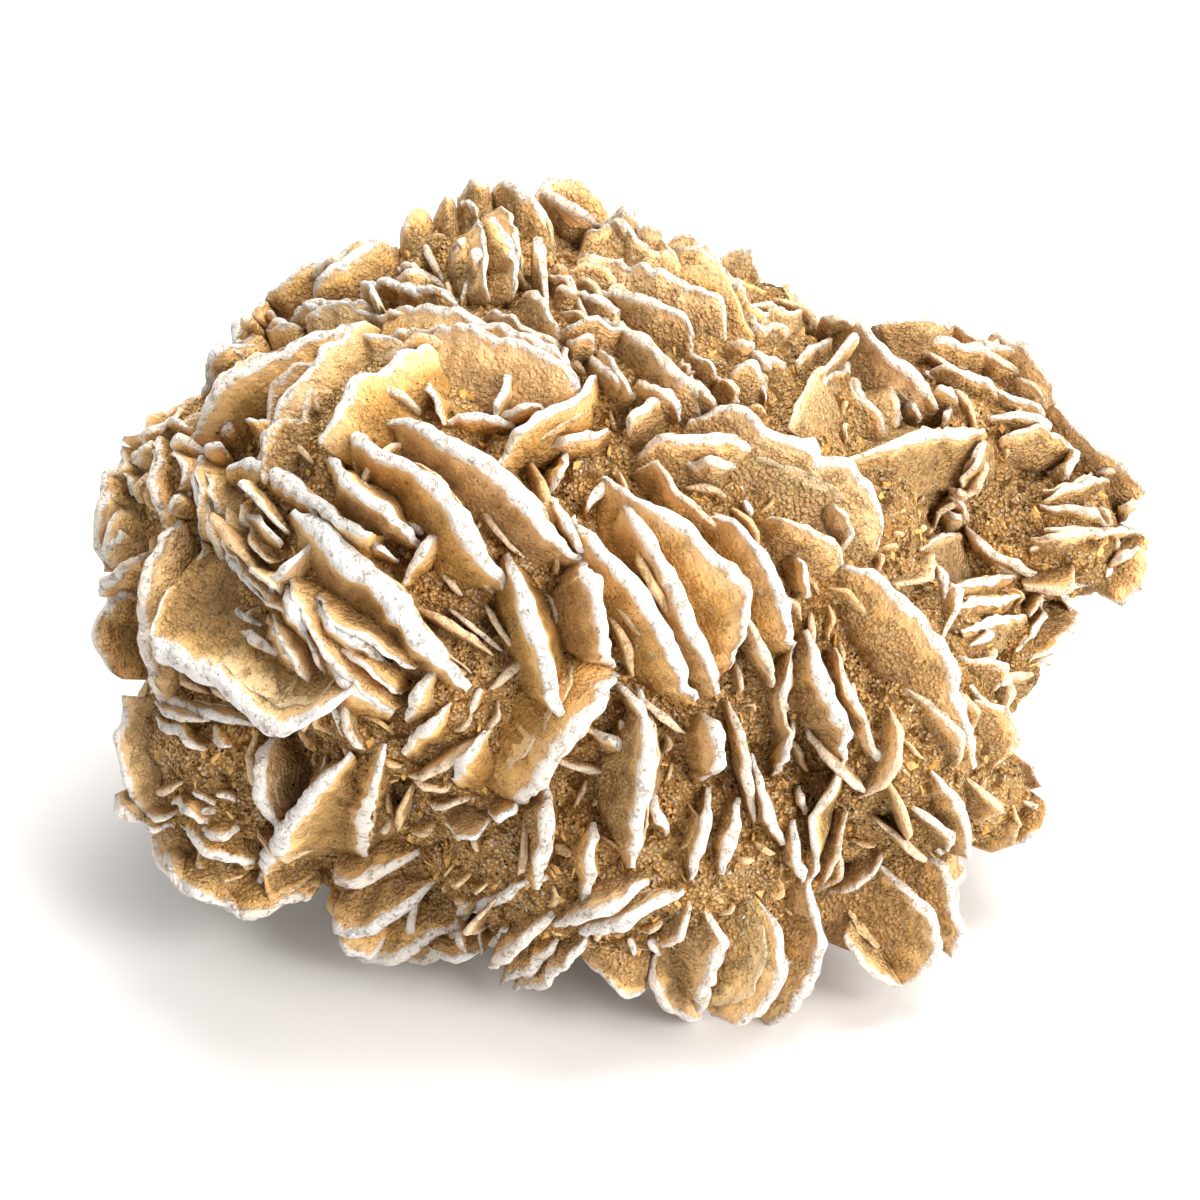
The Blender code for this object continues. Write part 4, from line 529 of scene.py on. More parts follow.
MIDDLE_SCALES = (
    (4.5, -2, 1.5, 64.2, 46.6, 65.8, 46.2, 66.7, 47.3, 67.9, 48.9, 69, 50.2, 70.4, 51.6, 71.9, 53.5),
    (4.5, -2.5, 0.5, 79.8, 64.5, 79, 66.2, 78.5, 68.1, 78.3, 70, 78.9, 72.5, 79, 74, 78.5, 76),
    (4, -2, 1, 76.5, 56.8, 75.7, 57.8, 75.5, 59.3),
    (5, -2.5, 0, 79.6, 55.4, 80.2, 56.6, 80.7, 58.1, 80.7, 59.8),
    (5.5, -2.5, 3, 76.9, 51.8, 78.8, 52.2, 80.4, 52.5, 82.1, 53.3, 83.5, 54.3, 84.4, 55.4, 84.2, 56.4),
    (5, -3, 1, 83.4, 49.8, 84, 50.6, 84.8, 51.6, 85.2, 52.9, 84.8, 53.9),
    (4.5, -2, 0.5, 83.8, 64.7, 84.6, 67.5, 85.2, 69.5, 86, 71.2, 86.9, 73.3, 87.5, 75.4),
)

# Stacks of near-parallel blades on the sides that the sheet doesn't show. Each row: the direction
# round the heart from +X towards +Y and the direction up, both in degrees; the turn of the rims in
# degrees; how many blades; the step between them; the longest rim; and how far the rims stand out.
HIDDEN_STACKS = (
    (90, 8, 25, 8, 5.0, 24, 7),
    (62, 20, -35, 7, 4.8, 22, 6),
    (118, 18, 70, 7, 4.8, 22, 6),
    (90, 34, 5, 6, 4.6, 20, 4.5),
    (40, -6, 65, 7, 4.6, 20, 5),
    (143, 2, -20, 7, 4.6, 20, 5),
    (60, -14, 40, 7, 4.8, 20, 6),
    (120, -12, -50, 7, 4.8, 20, 6),
    (12, -22, -20, 6, 4.4, 17, 5),
    (164, -16, 35, 6, 4.4, 17, 5),
    (92, -30, 80, 6, 4.8, 18, 5),
    (196, -34, -30, 5, 4.4, 15, 4),
    (232, -44, 20, 5, 4.4, 15, 4),
    (300, -48, -10, 5, 4.4, 15, 4),
    (340, -42, 50, 5, 4.4, 15, 4),
    (30, -42, 10, 5, 4.6, 15, 4),
    (150, -42, -70, 5, 4.6, 15, 4),
    (85, -64, 15, 6, 4.6, 17, 4.5),
    (200, -66, 60, 5, 4.6, 16, 4.5),
    (325, -68, -40, 5, 4.6, 16, 4.5),
)
HIDDEN_STATIONS = 5  # points along each hidden rim
HIDDEN_THICKNESS = 1.5
HIDDEN_CRUST = 0.7
HIDDEN_BOW = 0.9  # how much of the body's bulge a hidden rim follows
HIDDEN_FAN = 0.12  # how much each blade of a stack leans away from the one before

# Seeds, one for each run of random draws.
COMPANION_SEED = 5
HIDDEN_SEED = 7
SCALE_SEED = 11
SEEDLING_SEED = 23
LAYER_SEED = 31

# How finely a blade is divided.
RIM_STEP = 0.48  # between points along a large rim
SCALE_STEP = 0.58  # the same on a scale
SMALL_STEP = 0.6  # the same on a seedling
REAR_STEP = 0.75  # the same on a hidden blade or a growth step
LAYER_STATION = 1.2  # the same where a growth step is laid out
FEWEST_POINTS = 6  # along any rim
FACE_STEP = 1.25  # between rows down a face, on average
FEWEST_FACE_ROWS = 3
SMALL_FACE_ROWS = 2
FACE_ROW_POWER = 1.25  # crowds those rows towards the rim
EDGE_ROWS = (0.0, 0.13, 0.45, 0.95, 1.6)  # rows over the rounded rim, in half thicknesses
SMALL_EDGE_ROWS = (0.0, 0.5, 1.5)

# How a blade is thinned, flared and roughened. Each ripple is a height, a wavelength and a seed.
LARGE_LUMPS = 1.3  # the strength of all the ripples on a large blade
SMALL_LUMPS = 0.6
THICK_AND_THIN = ((0.38, 1.5, 1),)  # a share of the half thickness
RAGGED = ((0.30, 2.6, 2), (0.26, 1.1, 3))  # the rim, in and out
SWAY = ((0.30, 4.0, 4), (0.16, 1.2, 5))  # the rim, from side to side
RELIEF = ((1.0, 2.4, 6), (0.8, 1.2, 9))  # the faces
CHIPS = ((1.0, 3.0, 14),)
CHIP_BAR = 0.35  # a chip is broken out of the rim where its ripple passes this
CHIP_DEPTH = 1.5
FULL_SPREAD = 14.0  # a rim at least this long flares fully towards the sand
SMALL_SPREAD = 0.35
FLARE_REACH = 5.0
FLARE_POWER = 1.8
FLARE_END = (1.6, 2.2)  # how strongly it holds on past the sand, and the depth it then fades over
LEAST_GROUND = 0.5  # the least height of a face above the sand
LEAST_HALF = 0.1  # the least half thickness
CRUMBLE = (0.08, 0.10)  # the faces' relief at the rim, and what is added over the next depth
CRUMBLE_DEPTH = 3.0
RIM_BAND = (1.5, 0.35)  # how far down the rim's white goes: half thicknesses, and a little more
DARKEST = 4.5  # how far below its rim a tall blade's painted shade is darkest

SLIVER_THICKNESS = 0.75
SLIVER_ENDS = 0.15  # how much of a sliver's rise is left at its ends
SLIVER_CRUST = 0.5
SCALE_THICKNESS = 0.62
SCALE_ENDS = 0.25
LAYERED_SPAN = 9.0  # a blade with a longer rim than this has a growth step on one side
LAYER_FROST = 0.25

SEEDLINGS = 5200  # places tried, on a spiral round the body
GOLDEN_SHARE = 0.618034
SPIRAL_TURN = 1.7
SEEDLING_CRUST = 0.75
SEEDLING_LENGTHS = (11, 8, 5.5, 3.6)
REAR_SEEDLING_LENGTHS = (11, 8, 5.5, 3.8)
CROSSING_LENGTHS = (2.2,)
SEEDLING_GAP = 1.05  # the least gap between a seedling and anything else
CROSSING_GAP = 0.7
REAR_GAP = 1.7
CROSSING_SHARE = 0.16  # how many seedlings stand across the blades near them
FRONT_BELOW = 0.15  # a place facing away from the eye by less than this is on the front
LOWEST = 0.5  # no seedling starts nearer the ground than this
SIDEWAYS = 0.3  # a place that faces the line of sight by less than this is on the outline
SIDEWAYS_RISE = 0.45  # how much of their height the seedlings on the outline keep
SEEDLING_FOOT = 0.3  # how far under the sand a seedling's rim starts
SEEDLING_ROOT = 2.0
STRETCH = 1.25  # a foot longer than its blade by more than this spans a bend of the body
FOLLOWING = 0.8  # how much a seedling turns towards the way its nearest blade points
LEANS = (-0.7, -0.3, -0.15, 0.0, 0.15, 0.3, 0.7)
# Hollows of the front where loose sand shows: x, y and reach on the sheet.
SANDY_HOLLOWS = (
    (46, 87, 5),
    (66, 76, 4),
    (88, 70, 5),
    (99, 59, 4),
    (91, 51, 4.5),
    (84, 43, 4),
    (56, 26, 3),
    (71, 60, 2.5),
)
# Places where no seedling grows: x, y and reach on the sheet.
BARE_PATCHES = (
    (11.2, 43.2, 3.2),
    (73, 25, 3),
    (77, 27.5, 3),
    (102.8, 72, 4),
    (31.9, 24.8, 2.5),
    (103.8, 68, 3.5),
    (91.3, 30.5, 2.5),
    (89, 47.7, 3),
    (58.5, 97.8, 2.5),
    (54, 27, 2),
    (80.5, 35, 2),
    (103.5, 78, 3),
    (105.5, 80.8, 2.5),
    (80, 27.3, 3),
)

WELL_INSIDE = 0.93  # a share of a lobe's half sizes
INSET = 2e-6  # how far the pieces stay inside the solid's box, in metres
SAND_VOXEL = 0.75
SAND_RELIEF = ((0.8, 5.0, 11), (0.6, 2.2, 12), (0.45, 1.1, 13))
SAND_SET_BACK = 0.5  # how far the roughened sand lies inside the lobes
FOOT_SHADE = 1.6  # how far from a blade's foot the painted shade on the sand reaches
SHARD_SHADE_DEPTH = 0.6  # how deep the shards in the sand look: the depth that sets their painted shade
STREWN_RAMP = 1.6  # how fast strewn grains fill in below the depth where they start

# Forms strewn over the surfaces: proportions, then how many sides and rings each has.
GRAIN = ((1, 1, 1), 4, 2)
FLAKE = ((1, 0.65, 0.2), 4, 3)
EVERYWHERE = -1  # every depth is more than this


# ---------------------------------------------------------------- noise and curves

def scatter(cell):
    """A fixed random number from 0 to 1 for each whole-numbered cell of space."""
    mixed = cell.astype(np.int64) @ np.array((73856093, 19349663, 83492791))
    mixed = (mixed ^ (mixed >> 13)) * 1274126177 & 0x7FFFFFFF
    return (mixed ^ (mixed >> 15)) % 65536 / 65535.0


def ripple(points, wavelength, seed):
    """Smooth noise from -1 to 1 over points of space, with lumps about this far apart."""
    cell = points / wavelength + 31.7 * seed + 1000.0
    low = np.floor(cell)
    part = cell - low
    part = part * part * (3 - 2 * part)
    total = np.zeros(points.shape[:-1])
    for corner in np.ndindex(2, 2, 2):
        corner = np.array(corner)
        weight = np.prod(np.where(corner == 1, part, 1 - part), axis=-1)
        total += weight * scatter(low + corner)
    return total * 2 - 1


def ripples(points, waves, shift=0):
    """The sum of several ripples, each a height, a wavelength and a seed."""
    return sum(height * ripple(points, wavelength, seed + shift) for height, wavelength, seed in waves)


def gaps_between(points):
    return np.linalg.norm(np.diff(points, axis=0), axis=1)


def arc_lengths(points):
    """How far along the run of these points each of them lies."""
    return np.concatenate(([0.0], np.cumsum(gaps_between(points))))


def stations(length, step):
    """Evenly spaced places along a length, about a step apart."""
    return np.linspace(0, length, max(FEWEST_POINTS, int(length / step) + 1))


def smooth_line(points, step):
    """Points about a step apart on a smooth curve through these."""
    points = np.array(points, float)
    gaps = gaps_between(points)
    at = arc_lengths(points)
    slopes = np.gradient(points, at, axis=0)
    where = stations(at[-1], step)
    k = np.clip(np.searchsorted(at, where, side="right") - 1, 0, len(gaps) - 1)
    gap = gaps[k][:, None]
    t = (where - at[k])[:, None] / gap
    return (
        points[k] * (2 * t**3 - 3 * t**2 + 1)
        + slopes[k] * gap * (t**3 - 2 * t**2 + t)
        + points[k + 1] * (3 * t**2 - 2 * t**3)
        + slopes[k + 1] * gap * (t**3 - t**2)
    )


def straight_line(points, step):
    """Points about a step apart on the straight runs through these."""
    points = np.array(points, float)
    at = arc_lengths(points)
    where = stations(at[-1], step)
    return np.stack([np.interp(where, at, points[:, axis]) for axis in range(3)], axis=1)


def unit(vectors):
    return vectors / np.linalg.norm(vectors, axis=-1, keepdims=True)


def swell(share, power):
    """The rise of a rounded rim at a share of its length: 0 at the ends and 1 in the middle."""
    return math.sin(math.pi * share) ** power if 0 < share < 1 else 0.0


# ---------------------------------------------------------------- the sandy body

def on_sheet(x, y, away):
    """The point of space that lies this far behind the sheet, on the line from the eye through x, y."""
    half = SHEET_SIDE / 2
    through = SHEET_MIDDLE + SHEET_RIGHT * (x - half) + SHEET_UP * (half - y)
    return EYE + (through - EYE) * ((EYE_DISTANCE + away) / EYE_DISTANCE)


def lobes():
    """Each lobe of the sandy body: its middle, its three axes and its three half sizes."""
    leaning = (SHEET_RIGHT, SHEET_UP, SHEET_AWAY)
    upright = (Vector((1, 0, 0)), Vector((0, 1, 0)), Vector((0, 0, 1)))
    front = [(on_sheet(x, y, away), leaning, sizes) for x, y, away, *sizes in FRONT_LOBES]
    rear = [(SHEET_MIDDLE + Vector((x, y, z)), upright, sizes) for x, y, z, *sizes in UPRIGHT_LOBES]
    return rear + front


LOBES = lobes()


def meeting(start, step, outermost):
    """Where a line meets the body, as a number of steps: its first point there or its last.

    A line that misses the body gives the place where it passes closest to a lobe.
    """
    hits = []
    nearest = (math.inf, 0.0)
    for middle, axes, sizes in LOBES:
        offset = start - middle
        p = Vector([offset.dot(axis) / size for axis, size in zip(axes, sizes)])
        q = Vector([step.dot(axis) / size for axis, size in zip(axes, sizes)])
        closest = -p.dot(q) / q.dot(q)
        gap = (p + q * closest).length
        if gap < 1:
            half = math.sqrt((1 - gap * gap) / q.dot(q))
            hits.append(closest + half if outermost else closest - half)
        elif gap < nearest[0]:
            nearest = (gap, closest)
    if not hits:
        return nearest[1]
    return max(hits) if outermost else min(hits)


def body_away(x, y):
    """How far behind the sheet the body's front lies at x, y."""
    towards = (on_sheet(x, y, 0) - EYE).normalized()
    return meeting(EYE, towards, False) * towards.dot(SHEET_AWAY) - EYE_DISTANCE


def body_point(direction):
    """The body's outermost point in this direction from its heart."""
    return BODY_HEART + direction * meeting(BODY_HEART, direction, True)


def dropped(point):
    """The body's outermost point under or over this one, seen from its heart."""
    return body_point((point - BODY_HEART).normalized())


def buried(point):
    """This point, or the first one on the way to the nearest lobe's middle that lies inside it."""
    best = (math.inf, None)
    for middle, axes, sizes in LOBES:
        offset = point - middle
        out = math.hypot(*(offset.dot(axis) / size for axis, size in zip(axes, sizes)))
        if out < best[0]:
            best = (out, middle)
    out, middle = best
    return point if out < WELL_INSIDE else middle + (point - middle) * (WELL_INSIDE / out)


def body_normal(point):
    """The way out of the body at a point of its surface."""
    best = (math.inf, None)
    for middle, axes, sizes in LOBES:
        offset = point - middle
        p = [offset.dot(axis) / size for axis, size in zip(axes, sizes)]
        miss = abs(math.hypot(*p) - 1)
        if miss < best[0]:
            out = sum((axis * (c / size) for axis, c, size in zip(axes, p, sizes)), Vector())
            best = (miss, out.normalized())
    return best[1]


def within(point, circles):
    """Whether this point of space, seen from the eye, lies inside one of these circles of the sheet."""
    towards = point - EYE
    through = EYE + towards * (EYE_DISTANCE / towards.dot(SHEET_AWAY)) - SHEET_MIDDLE
    x = through.dot(SHEET_RIGHT) + SHEET_SIDE / 2
    y = SHEET_SIDE / 2 - through.dot(SHEET_UP)
    return any(math.hypot(x - middle_x, y - middle_y) < reach for middle_x, middle_y, reach in circles)


# ---------------------------------------------------------------- blades

def plump(share):
    """How thick a blade is at a share of its rim: thin at the ends and full in the middle."""
    return 0.2 + 0.72 * np.sin(np.pi * np.clip(share, 0.02, 0.98)) ** 0.7


def rounded_rim(x):
    """The rim's round section, at x half thicknesses from its edge."""
    return np.sqrt(1 - (1 - np.minimum(x, 1)) ** 2)


def bead(x):
    """A bead along the rim, then a shallow groove below it, as a share of the half thickness."""
    return 1 + 0.14 * np.exp(-((x / 1.6) ** 2)) - 0.10 * np.exp(-(((x - 3.2) / 1.6) ** 2))


def flare(d, ground):
    """How much wider a blade grows at a depth, from its rim down to the sand and a little under it."""
    strength, reach = FLARE_END
    widening = (np.clip(d, 0, ground) / FLARE_REACH) ** FLARE_POWER
    return widening, np.clip(strength - (d - ground) / reach, 0, 1)


class Growth:
    """Gathers the blades of one piece."""

    def __init__(self, crust):
        self.crust = crust  # how much sand sticks to the faces, from 0 to 1
        self.points, self.faces = [], []
        self.values = {"rim": [], "deep": [], "tone": [], "frost": []}
        self.chords = []  # places along each blade at the sand, with the way along it and the way in
        self.count = 0

    def add(self, rim, root, thickness, tone, frost, step=RIM_STEP):
        """One blade, closed all round: a lumpy rounded rim, two faces and a root in the sand."""
        small = step == SMALL_STEP
        line = straight_line(rim, step) if small else smooth_line(rim, step)
        edge_rows = EDGE_ROWS if step < SMALL_STEP else SMALL_EDGE_ROWS
        lumps = SMALL_LUMPS if small else LARGE_LUMPS
        span = np.linalg.norm(line[-1] - line[0])
        spread = SMALL_SPREAD if small else min(1.0, span / FULL_SPREAD)
        root = np.array(root, float)
        n = len(line)
        share = np.linspace(0, 1, n)[:, None]
        base = root[0] * (1 - share) + root[1] * share
        depth = np.linalg.norm(base - line, axis=1, keepdims=True)
        inward = (base - line) / depth
        ground = np.maximum(depth - ROOT_DEPTH, LEAST_GROUND)
        facing = unit(np.cross(line[-1] - line[0], line[n // 2] - root.mean(axis=0)))
        half = thickness / 2 * plump(share) * (1 + ripples(line, THICK_AND_THIN)[:, None])
        chips = np.maximum(ripples(line, CHIPS) - CHIP_BAR, 0)
        ragged = ripples(line, RAGGED) - CHIP_DEPTH * chips
        sway = ripples(line, SWAY)
        line = line - inward * (ragged * lumps)[:, None] + facing * (sway * lumps)[:, None]

        deepest = float(depth.max())
        face_rows = SMALL_FACE_ROWS if small else max(FEWEST_FACE_ROWS, round(deepest / FACE_STEP))
        below_rim = half * edge_rows[-1]
        rows = [half * x for x in edge_rows]
        for k in range(1, face_rows + 1):
            rows.append(below_rim + (depth - below_rim) * (k / face_rows) ** FACE_ROW_POWER)
        sides = {1: [], -1: []}
        rims, deeps = [], []
        for d in rows:
            x = d / half
            widening, fading = flare(d, ground)
            flared = spread * widening * fading
            at = line + inward * d
            crumble = CRUMBLE[0] + CRUMBLE[1] * np.minimum(d / CRUMBLE_DEPTH, 1.5)[:, 0]
            for side in (1, -1):
                relief = crumble * ripples(at, RELIEF, side)
                out = half * bead(x) + flared + relief[:, None] * lumps
                sides[side].append(at + facing * (side * np.maximum(out, LEAST_HALF) * rounded_rim(x)))
            rims.append(np.clip(1 - d / (RIM_BAND[0] * half + RIM_BAND[1]), 0, 1))
            # depth down the face: it sets the painted shade, the sand crust and where grains lie
            deeps.append(d / np.clip(ground, 1.0, DARKEST))

        first = np.arange(n)
        grid = [first]  # vertex numbers, row by row, over the rim from one root to the other
        points, rim_values, deep_values = [line], [rims[0]], [deeps[0]]
        for side in (1, -1):
            for i in range(1, len(rows)):
                numbers = len(points) * n + first
                points.append(sides[side][i])
                rim_values.append(rims[i])
                deep_values.append(deeps[i])
                grid = grid + [numbers] if side == 1 else [numbers] + grid
        for face in closed_strip(np.array(grid)):
            self.faces.append([int(number) + self.count for number in face])
        self.points.append(np.concatenate(points))
        total = len(self.points[-1])
        self.values["rim"].append(np.concatenate(rim_values).ravel())
        self.values["deep"].append(np.concatenate(deep_values).ravel())
        self.values["tone"].append(np.full(total, tone))
        self.values["frost"].append(np.full(total, frost))
        self.count += total
        at_sand = line + inward * np.maximum(depth - ROOT_DEPTH, 0)
        along = unit(np.gradient(at_sand, axis=0))
        for k in range(0, n, 2):
            self.chords.append((at_sand[k], along[k], inward[k]))


def closed_strip(grid):
    """The faces of a strip of vertex numbers, with its two ends and its open bottom closed."""
    quads = np.stack([grid[:-1, :-1], grid[1:, :-1], grid[1:, 1:], grid[:-1, 1:]], axis=-1)
    bottom = np.stack([grid[-1, :-1], grid[0, :-1], grid[0, 1:], grid[-1, 1:]], axis=-1)
    m = len(grid)
    ends = []
    for k in range(m // 2):
        first_end = [grid[m - 1 - k, 0], grid[m - 2 - k, 0], grid[k + 1, 0], grid[k, 0]]
        last_end = [grid[k, -1], grid[k + 1, -1], grid[m - 2 - k, -1], grid[m - 1 - k, -1]]
        ends += [list(dict.fromkeys(first_end)), list(dict.fromkeys(last_end))]
    return quads.reshape(-1, 4).tolist() + bottom.tolist() + ends


# ---------------------------------------------------------------- where each blade goes

def front_blade(row):
    """A blade of the sheet: the points of its rim, the two ends of its root and its thickness."""
    thickness, stands_out, ends_share, step_x, step_y, *rest = row
    points = np.array(rest, float).reshape(-1, 2)
    at = arc_lengths(points)
    away_first = body_away(*points[0])
    away_final = body_away(*points[-1])
    step = np.array((step_x, step_y))
    bases = (points[0] + step, (points[0] + points[-1]) / 2 + step, points[-1] + step)
    base_first, base_middle, base_final = (body_away(*base) + ROOT_DEPTH for base in bases)
    sink = max(0.0, base_middle - (base_first + base_final) / 2)
    root = [
        buried(on_sheet(*bases[0], base_first + sink)),
        buried(on_sheet(*bases[2], base_final + sink)),
    ]
    rim = []
    for (x, y), share in zip(points, at / at[-1]):
        away = away_first + (away_final - away_first) * share - RIM_SET
        rise = ends_share + (1 - ends_share) * swell(share, BULGE)
        rim.append(on_sheet(x, y, away - stands_out * rise))
    return rim, root, thickness


def stack(row, chance):
    """The blades of one hidden stack, side by side across a patch of the body."""
    around, up, turn, count, step, longest, stands_out = row
    around, up, turn = (math.radians(angle) for angle in (around, up, turn))
    outward = Vector((math.cos(around) * math.cos(up), math.sin(around) * math.cos(up), math.sin(up)))
    level = outward.cross(Vector((0, 0, 1))).normalized()
    along = level * math.cos(turn) + outward.cross(level) * math.sin(turn)
    across = outward.cross(along)
    middle = body_point(outward)
    for i in range(count):
        place = i - (count - 1) / 2
        length = longest * (1 - (abs(place) / (count / 2 + 1)) ** 2) * chance.uniform(0.8, 1.1)
        rise = stands_out * chance.uniform(0.7, 1.1)
        offset = across * (place * step + chance.uniform(-0.6, 0.6)) + along * chance.uniform(-3, 3)
        twist = along + across * chance.uniform(-0.15, 0.15)
        ends = [dropped(middle + offset + twist * (length * side)) for side in (-0.5, 0.5)]
        away = ((ends[0] + ends[1]) / 2 - BODY_HEART).normalized()
        tip = away + across * (HIDDEN_FAN * place)
        rim = []
        for k in range(HIDDEN_STATIONS):
            share = k / (HIDDEN_STATIONS - 1)
            chord = ends[0].lerp(ends[1], share)
            over = dropped(chord) - chord
            rim.append(chord + over * HIDDEN_BOW + tip * (RIM_SET + rise * swell(share, BULGE)))
        yield rim, [end - away * ROOT_DEPTH for end in ends], HIDDEN_THICKNESS


def layer(rim, root, thickness, chance):
    """A thin growth step on one side of a blade: part of its length, its rim lower down the face."""
    line = smooth_line(rim, LAYER_STATION)
    root = np.array(root)
    across = unit(np.cross(line[-1] - line[0], line[len(line) // 2] - root.mean(axis=0)))
    side = chance.choice((-1, 1)) * (thickness * 0.5 + chance.uniform(0.0, 0.2))
    first = chance.uniform(0.02, 0.4)
    final = chance.uniform(0.6, 0.98)
    start = int(first * len(line))
    line = line[start : max(int(final * len(line)), start + 4)]
    lower = chance.uniform(1.4, 3.4)
    ends = [root[0] + (root[1] - root[0]) * share for share in (first, final)]
    inward = unit((ends[0] + ends[1]) / 2 - line.mean(axis=0))
    sag = lower * (1 + 0.8 * np.abs(np.linspace(-1, 1, len(line))) ** 3)
    line = line + across * side + inward * sag[:, None]
    return line, [end + across * side for end in ends], chance.uniform(0.3, 0.5)


def grow_front(tables, chance, whitest, crust):
    """The blades of these tables, with the growth steps on them. Their rims are up to this white."""
    growth = Growth(crust)
    paint = random.Random(LAYER_SEED)
    for row in (row for table in tables for row in table):
        rim, root, thickness = front_blade(row)
        tone = chance.uniform(0, 1)
        frost = whitest * chance.uniform(0.7, 1)
        growth.add(rim, root, thickness, tone, frost)
        if (Vector(rim[-1]) - Vector(rim[0])).length > LAYERED_SPAN:
            step = layer(rim, root, thickness, paint)
            growth.add(*step, tone, frost * LAYER_FROST, step=REAR_STEP)
    return growth


def grow_rear():
    """The stacks of the sides that the sheet doesn't show."""
    growth = Growth(HIDDEN_CRUST)
    chance = random.Random(HIDDEN_SEED)
    paint = random.Random(SEEDLING_SEED)
    for row in HIDDEN_STACKS:
        for blade in stack(row, chance):
            growth.add(*blade, paint.uniform(0, 1), paint.uniform(0.6, 1), step=REAR_STEP)
    return growth


def grow_slivers():
    """The small blades drawn between the large ones."""
    growth = Growth(SLIVER_CRUST)
    chance = random.Random(COMPANION_SEED)
    for stands_out, *rest in SLIVERS:
        row = (SLIVER_THICKNESS * chance.uniform(0.8, 1.3), stands_out, SLIVER_ENDS, *rest)
        growth.add(*front_blade(row), chance.uniform(0, 1), chance.uniform(0.7, 1))
    return growth


def grow_scales(tables, whitest, crust):
    """The overlapping scales of these tables. Their rims are up to this white."""
    growth = Growth(crust)
    chance = random.Random(SCALE_SEED)
    for stands_out, *rest in (row for table in tables for row in table):
        row = (SCALE_THICKNESS * chance.uniform(0.75, 1.35), stands_out, SCALE_ENDS, *rest)
        frost = whitest * chance.uniform(0.5, 1)
        growth.add(*front_blade(row), chance.uniform(0, 1), frost, step=SCALE_STEP)
    return growth


def spiral(k):
    """The direction of one of many places spread evenly round the body."""
    height = 1 - 2 * (k * GOLDEN_SHARE % 1)
    around = k * math.pi * (3 - math.sqrt(5)) * SPIRAL_TURN
    flat = math.sqrt(1 - height * height)
    return Vector((flat * math.cos(around), flat * math.sin(around), height))


def search_tree(chords):
    """The places of these chords, ready to be searched for the nearest."""
    tree = kdtree.KDTree(len(chords))
    for number, chord in enumerate(chords):
        tree.insert(chord[0], number)
    tree.balance()
    return tree


def footing(point, along, length):
    """Five places along a seedling's foot on the body, or none where the body bends away."""
    samples = [dropped(point + along * (length * share)) for share in (-0.5, -0.25, 0, 0.25, 0.5)]
    stretched = (samples[0] - samples[-1]).length > STRETCH * length
    far = max((sample - point).length for sample in samples) > length
    return [] if stretched or far else samples


def seedling(samples, along, outward, length, rise, chance):
    """The rim and the root of a small blade with a rough straight-edged outline."""
    lean = along.cross(outward) * chance.choice(LEANS) * chance.uniform(0.6, 1.1)
    near_first = (chance.uniform(0.1, 0.5), chance.uniform(0.7, 1))
    corners = (*near_first, 1, chance.uniform(0.6, 1), chance.uniform(0, 0.4))
    if chance.random() < 0.5:
        corners = corners[::-1]
    rim = []
    for corner, sample in zip(corners, samples):
        slide = along * (length * chance.uniform(-0.07, 0.07))
        rim.append(sample - outward * SEEDLING_FOOT + (outward + lean) * (rise * corner) + slide)
    return rim, [samples[0] - outward * SEEDLING_ROOT, samples[-1] - outward * SEEDLING_ROOT]


def grow_seedlings(grown):
    """Small blades in the gaps between the large ones, most of them turned like the nearest one."""
    front_growth = Growth(SEEDLING_CRUST)
    rear_growth = Growth(SEEDLING_CRUST)
    chance = random.Random(SEEDLING_SEED)
    chords = [chord for growth in grown for chord in growth.chords]
    tree = search_tree(chords)
    taken = np.full((len(chords) + 9 * SEEDLINGS, 3), 1e6)
    taken[: len(chords)] = [chord[0] for chord in chords]
    filled = len(chords)
    for k in range(SEEDLINGS):
        point = body_point(spiral(k))
        if point.z < LOWEST or within(point, BARE_PATCHES):
            continue
        normal = body_normal(point)
        front = normal.dot(SHEET_AWAY) < FRONT_BELOW
        _, number, _ = tree.find(point)
        _, along, inward = chords[number]
        outward = (normal - Vector(inward) * FOLLOWING).normalized()
        along = Vector(along)
        crossing = chance.random() < CROSSING_SHARE
        turn = chance.gauss(0, 0.14) + (chance.uniform(0.7, 2.4) if crossing else 0.0)
        along = (along - outward * along.dot(outward)).normalized()
        along = along * math.cos(turn) + outward.cross(along) * math.sin(turn)
        hollow = front and within(point, SANDY_HOLLOWS)
        if hollow and chance.random() < 0.5:
            continue
        gap = (CROSSING_GAP if crossing else SEEDLING_GAP) if front else REAR_GAP
        lengths = SEEDLING_LENGTHS if front else REAR_SEEDLING_LENGTHS
        for length in CROSSING_LENGTHS if hollow or crossing else lengths:
            length *= chance.uniform(0.8, 1.1)
            samples = footing(point, along, length)
            if not samples:
                continue
            others = taken[:filled]
            apart = min(np.min(np.sum((others - np.array(place)) ** 2, axis=1)) for place in samples)
            if apart > gap * gap:
                break
        else:
            continue
        taken[filled : filled + len(samples)] = [list(sample) for sample in samples]
        filled += len(samples)
        rise = length * (chance.uniform(0.28, 0.5) if length > 3 else chance.uniform(0.35, 0.7))
        if abs(normal.dot(SHEET_AWAY)) < SIDEWAYS:
            rise *= SIDEWAYS_RISE
        rim, root = seedling(samples, along, outward, length, rise, chance)
        thickness = chance.uniform(0.3, 0.6) + 0.04 * length
        frost = chance.uniform(0.0, 0.75) * min(1.0, length / 7)
        growth = front_growth if front else rear_growth
        growth.add(rim, root, thickness, chance.uniform(0, 1), frost, step=SMALL_STEP)
    return front_growth, rear_growth


# ---------------------------------------------------------------- meshes

def into_scene(name, mesh, material):
    obj = bpy.data.objects.new(name, mesh)
    bpy.context.scene.collection.objects.link(obj)
    if material:
        mesh.materials.clear()
        mesh.materials.append(material)
    return obj


def read_points(mesh):
    points = np.empty(len(mesh.vertices) * 3, np.float32)
    mesh.vertices.foreach_get("co", points)
    return points.reshape(-1, 3)


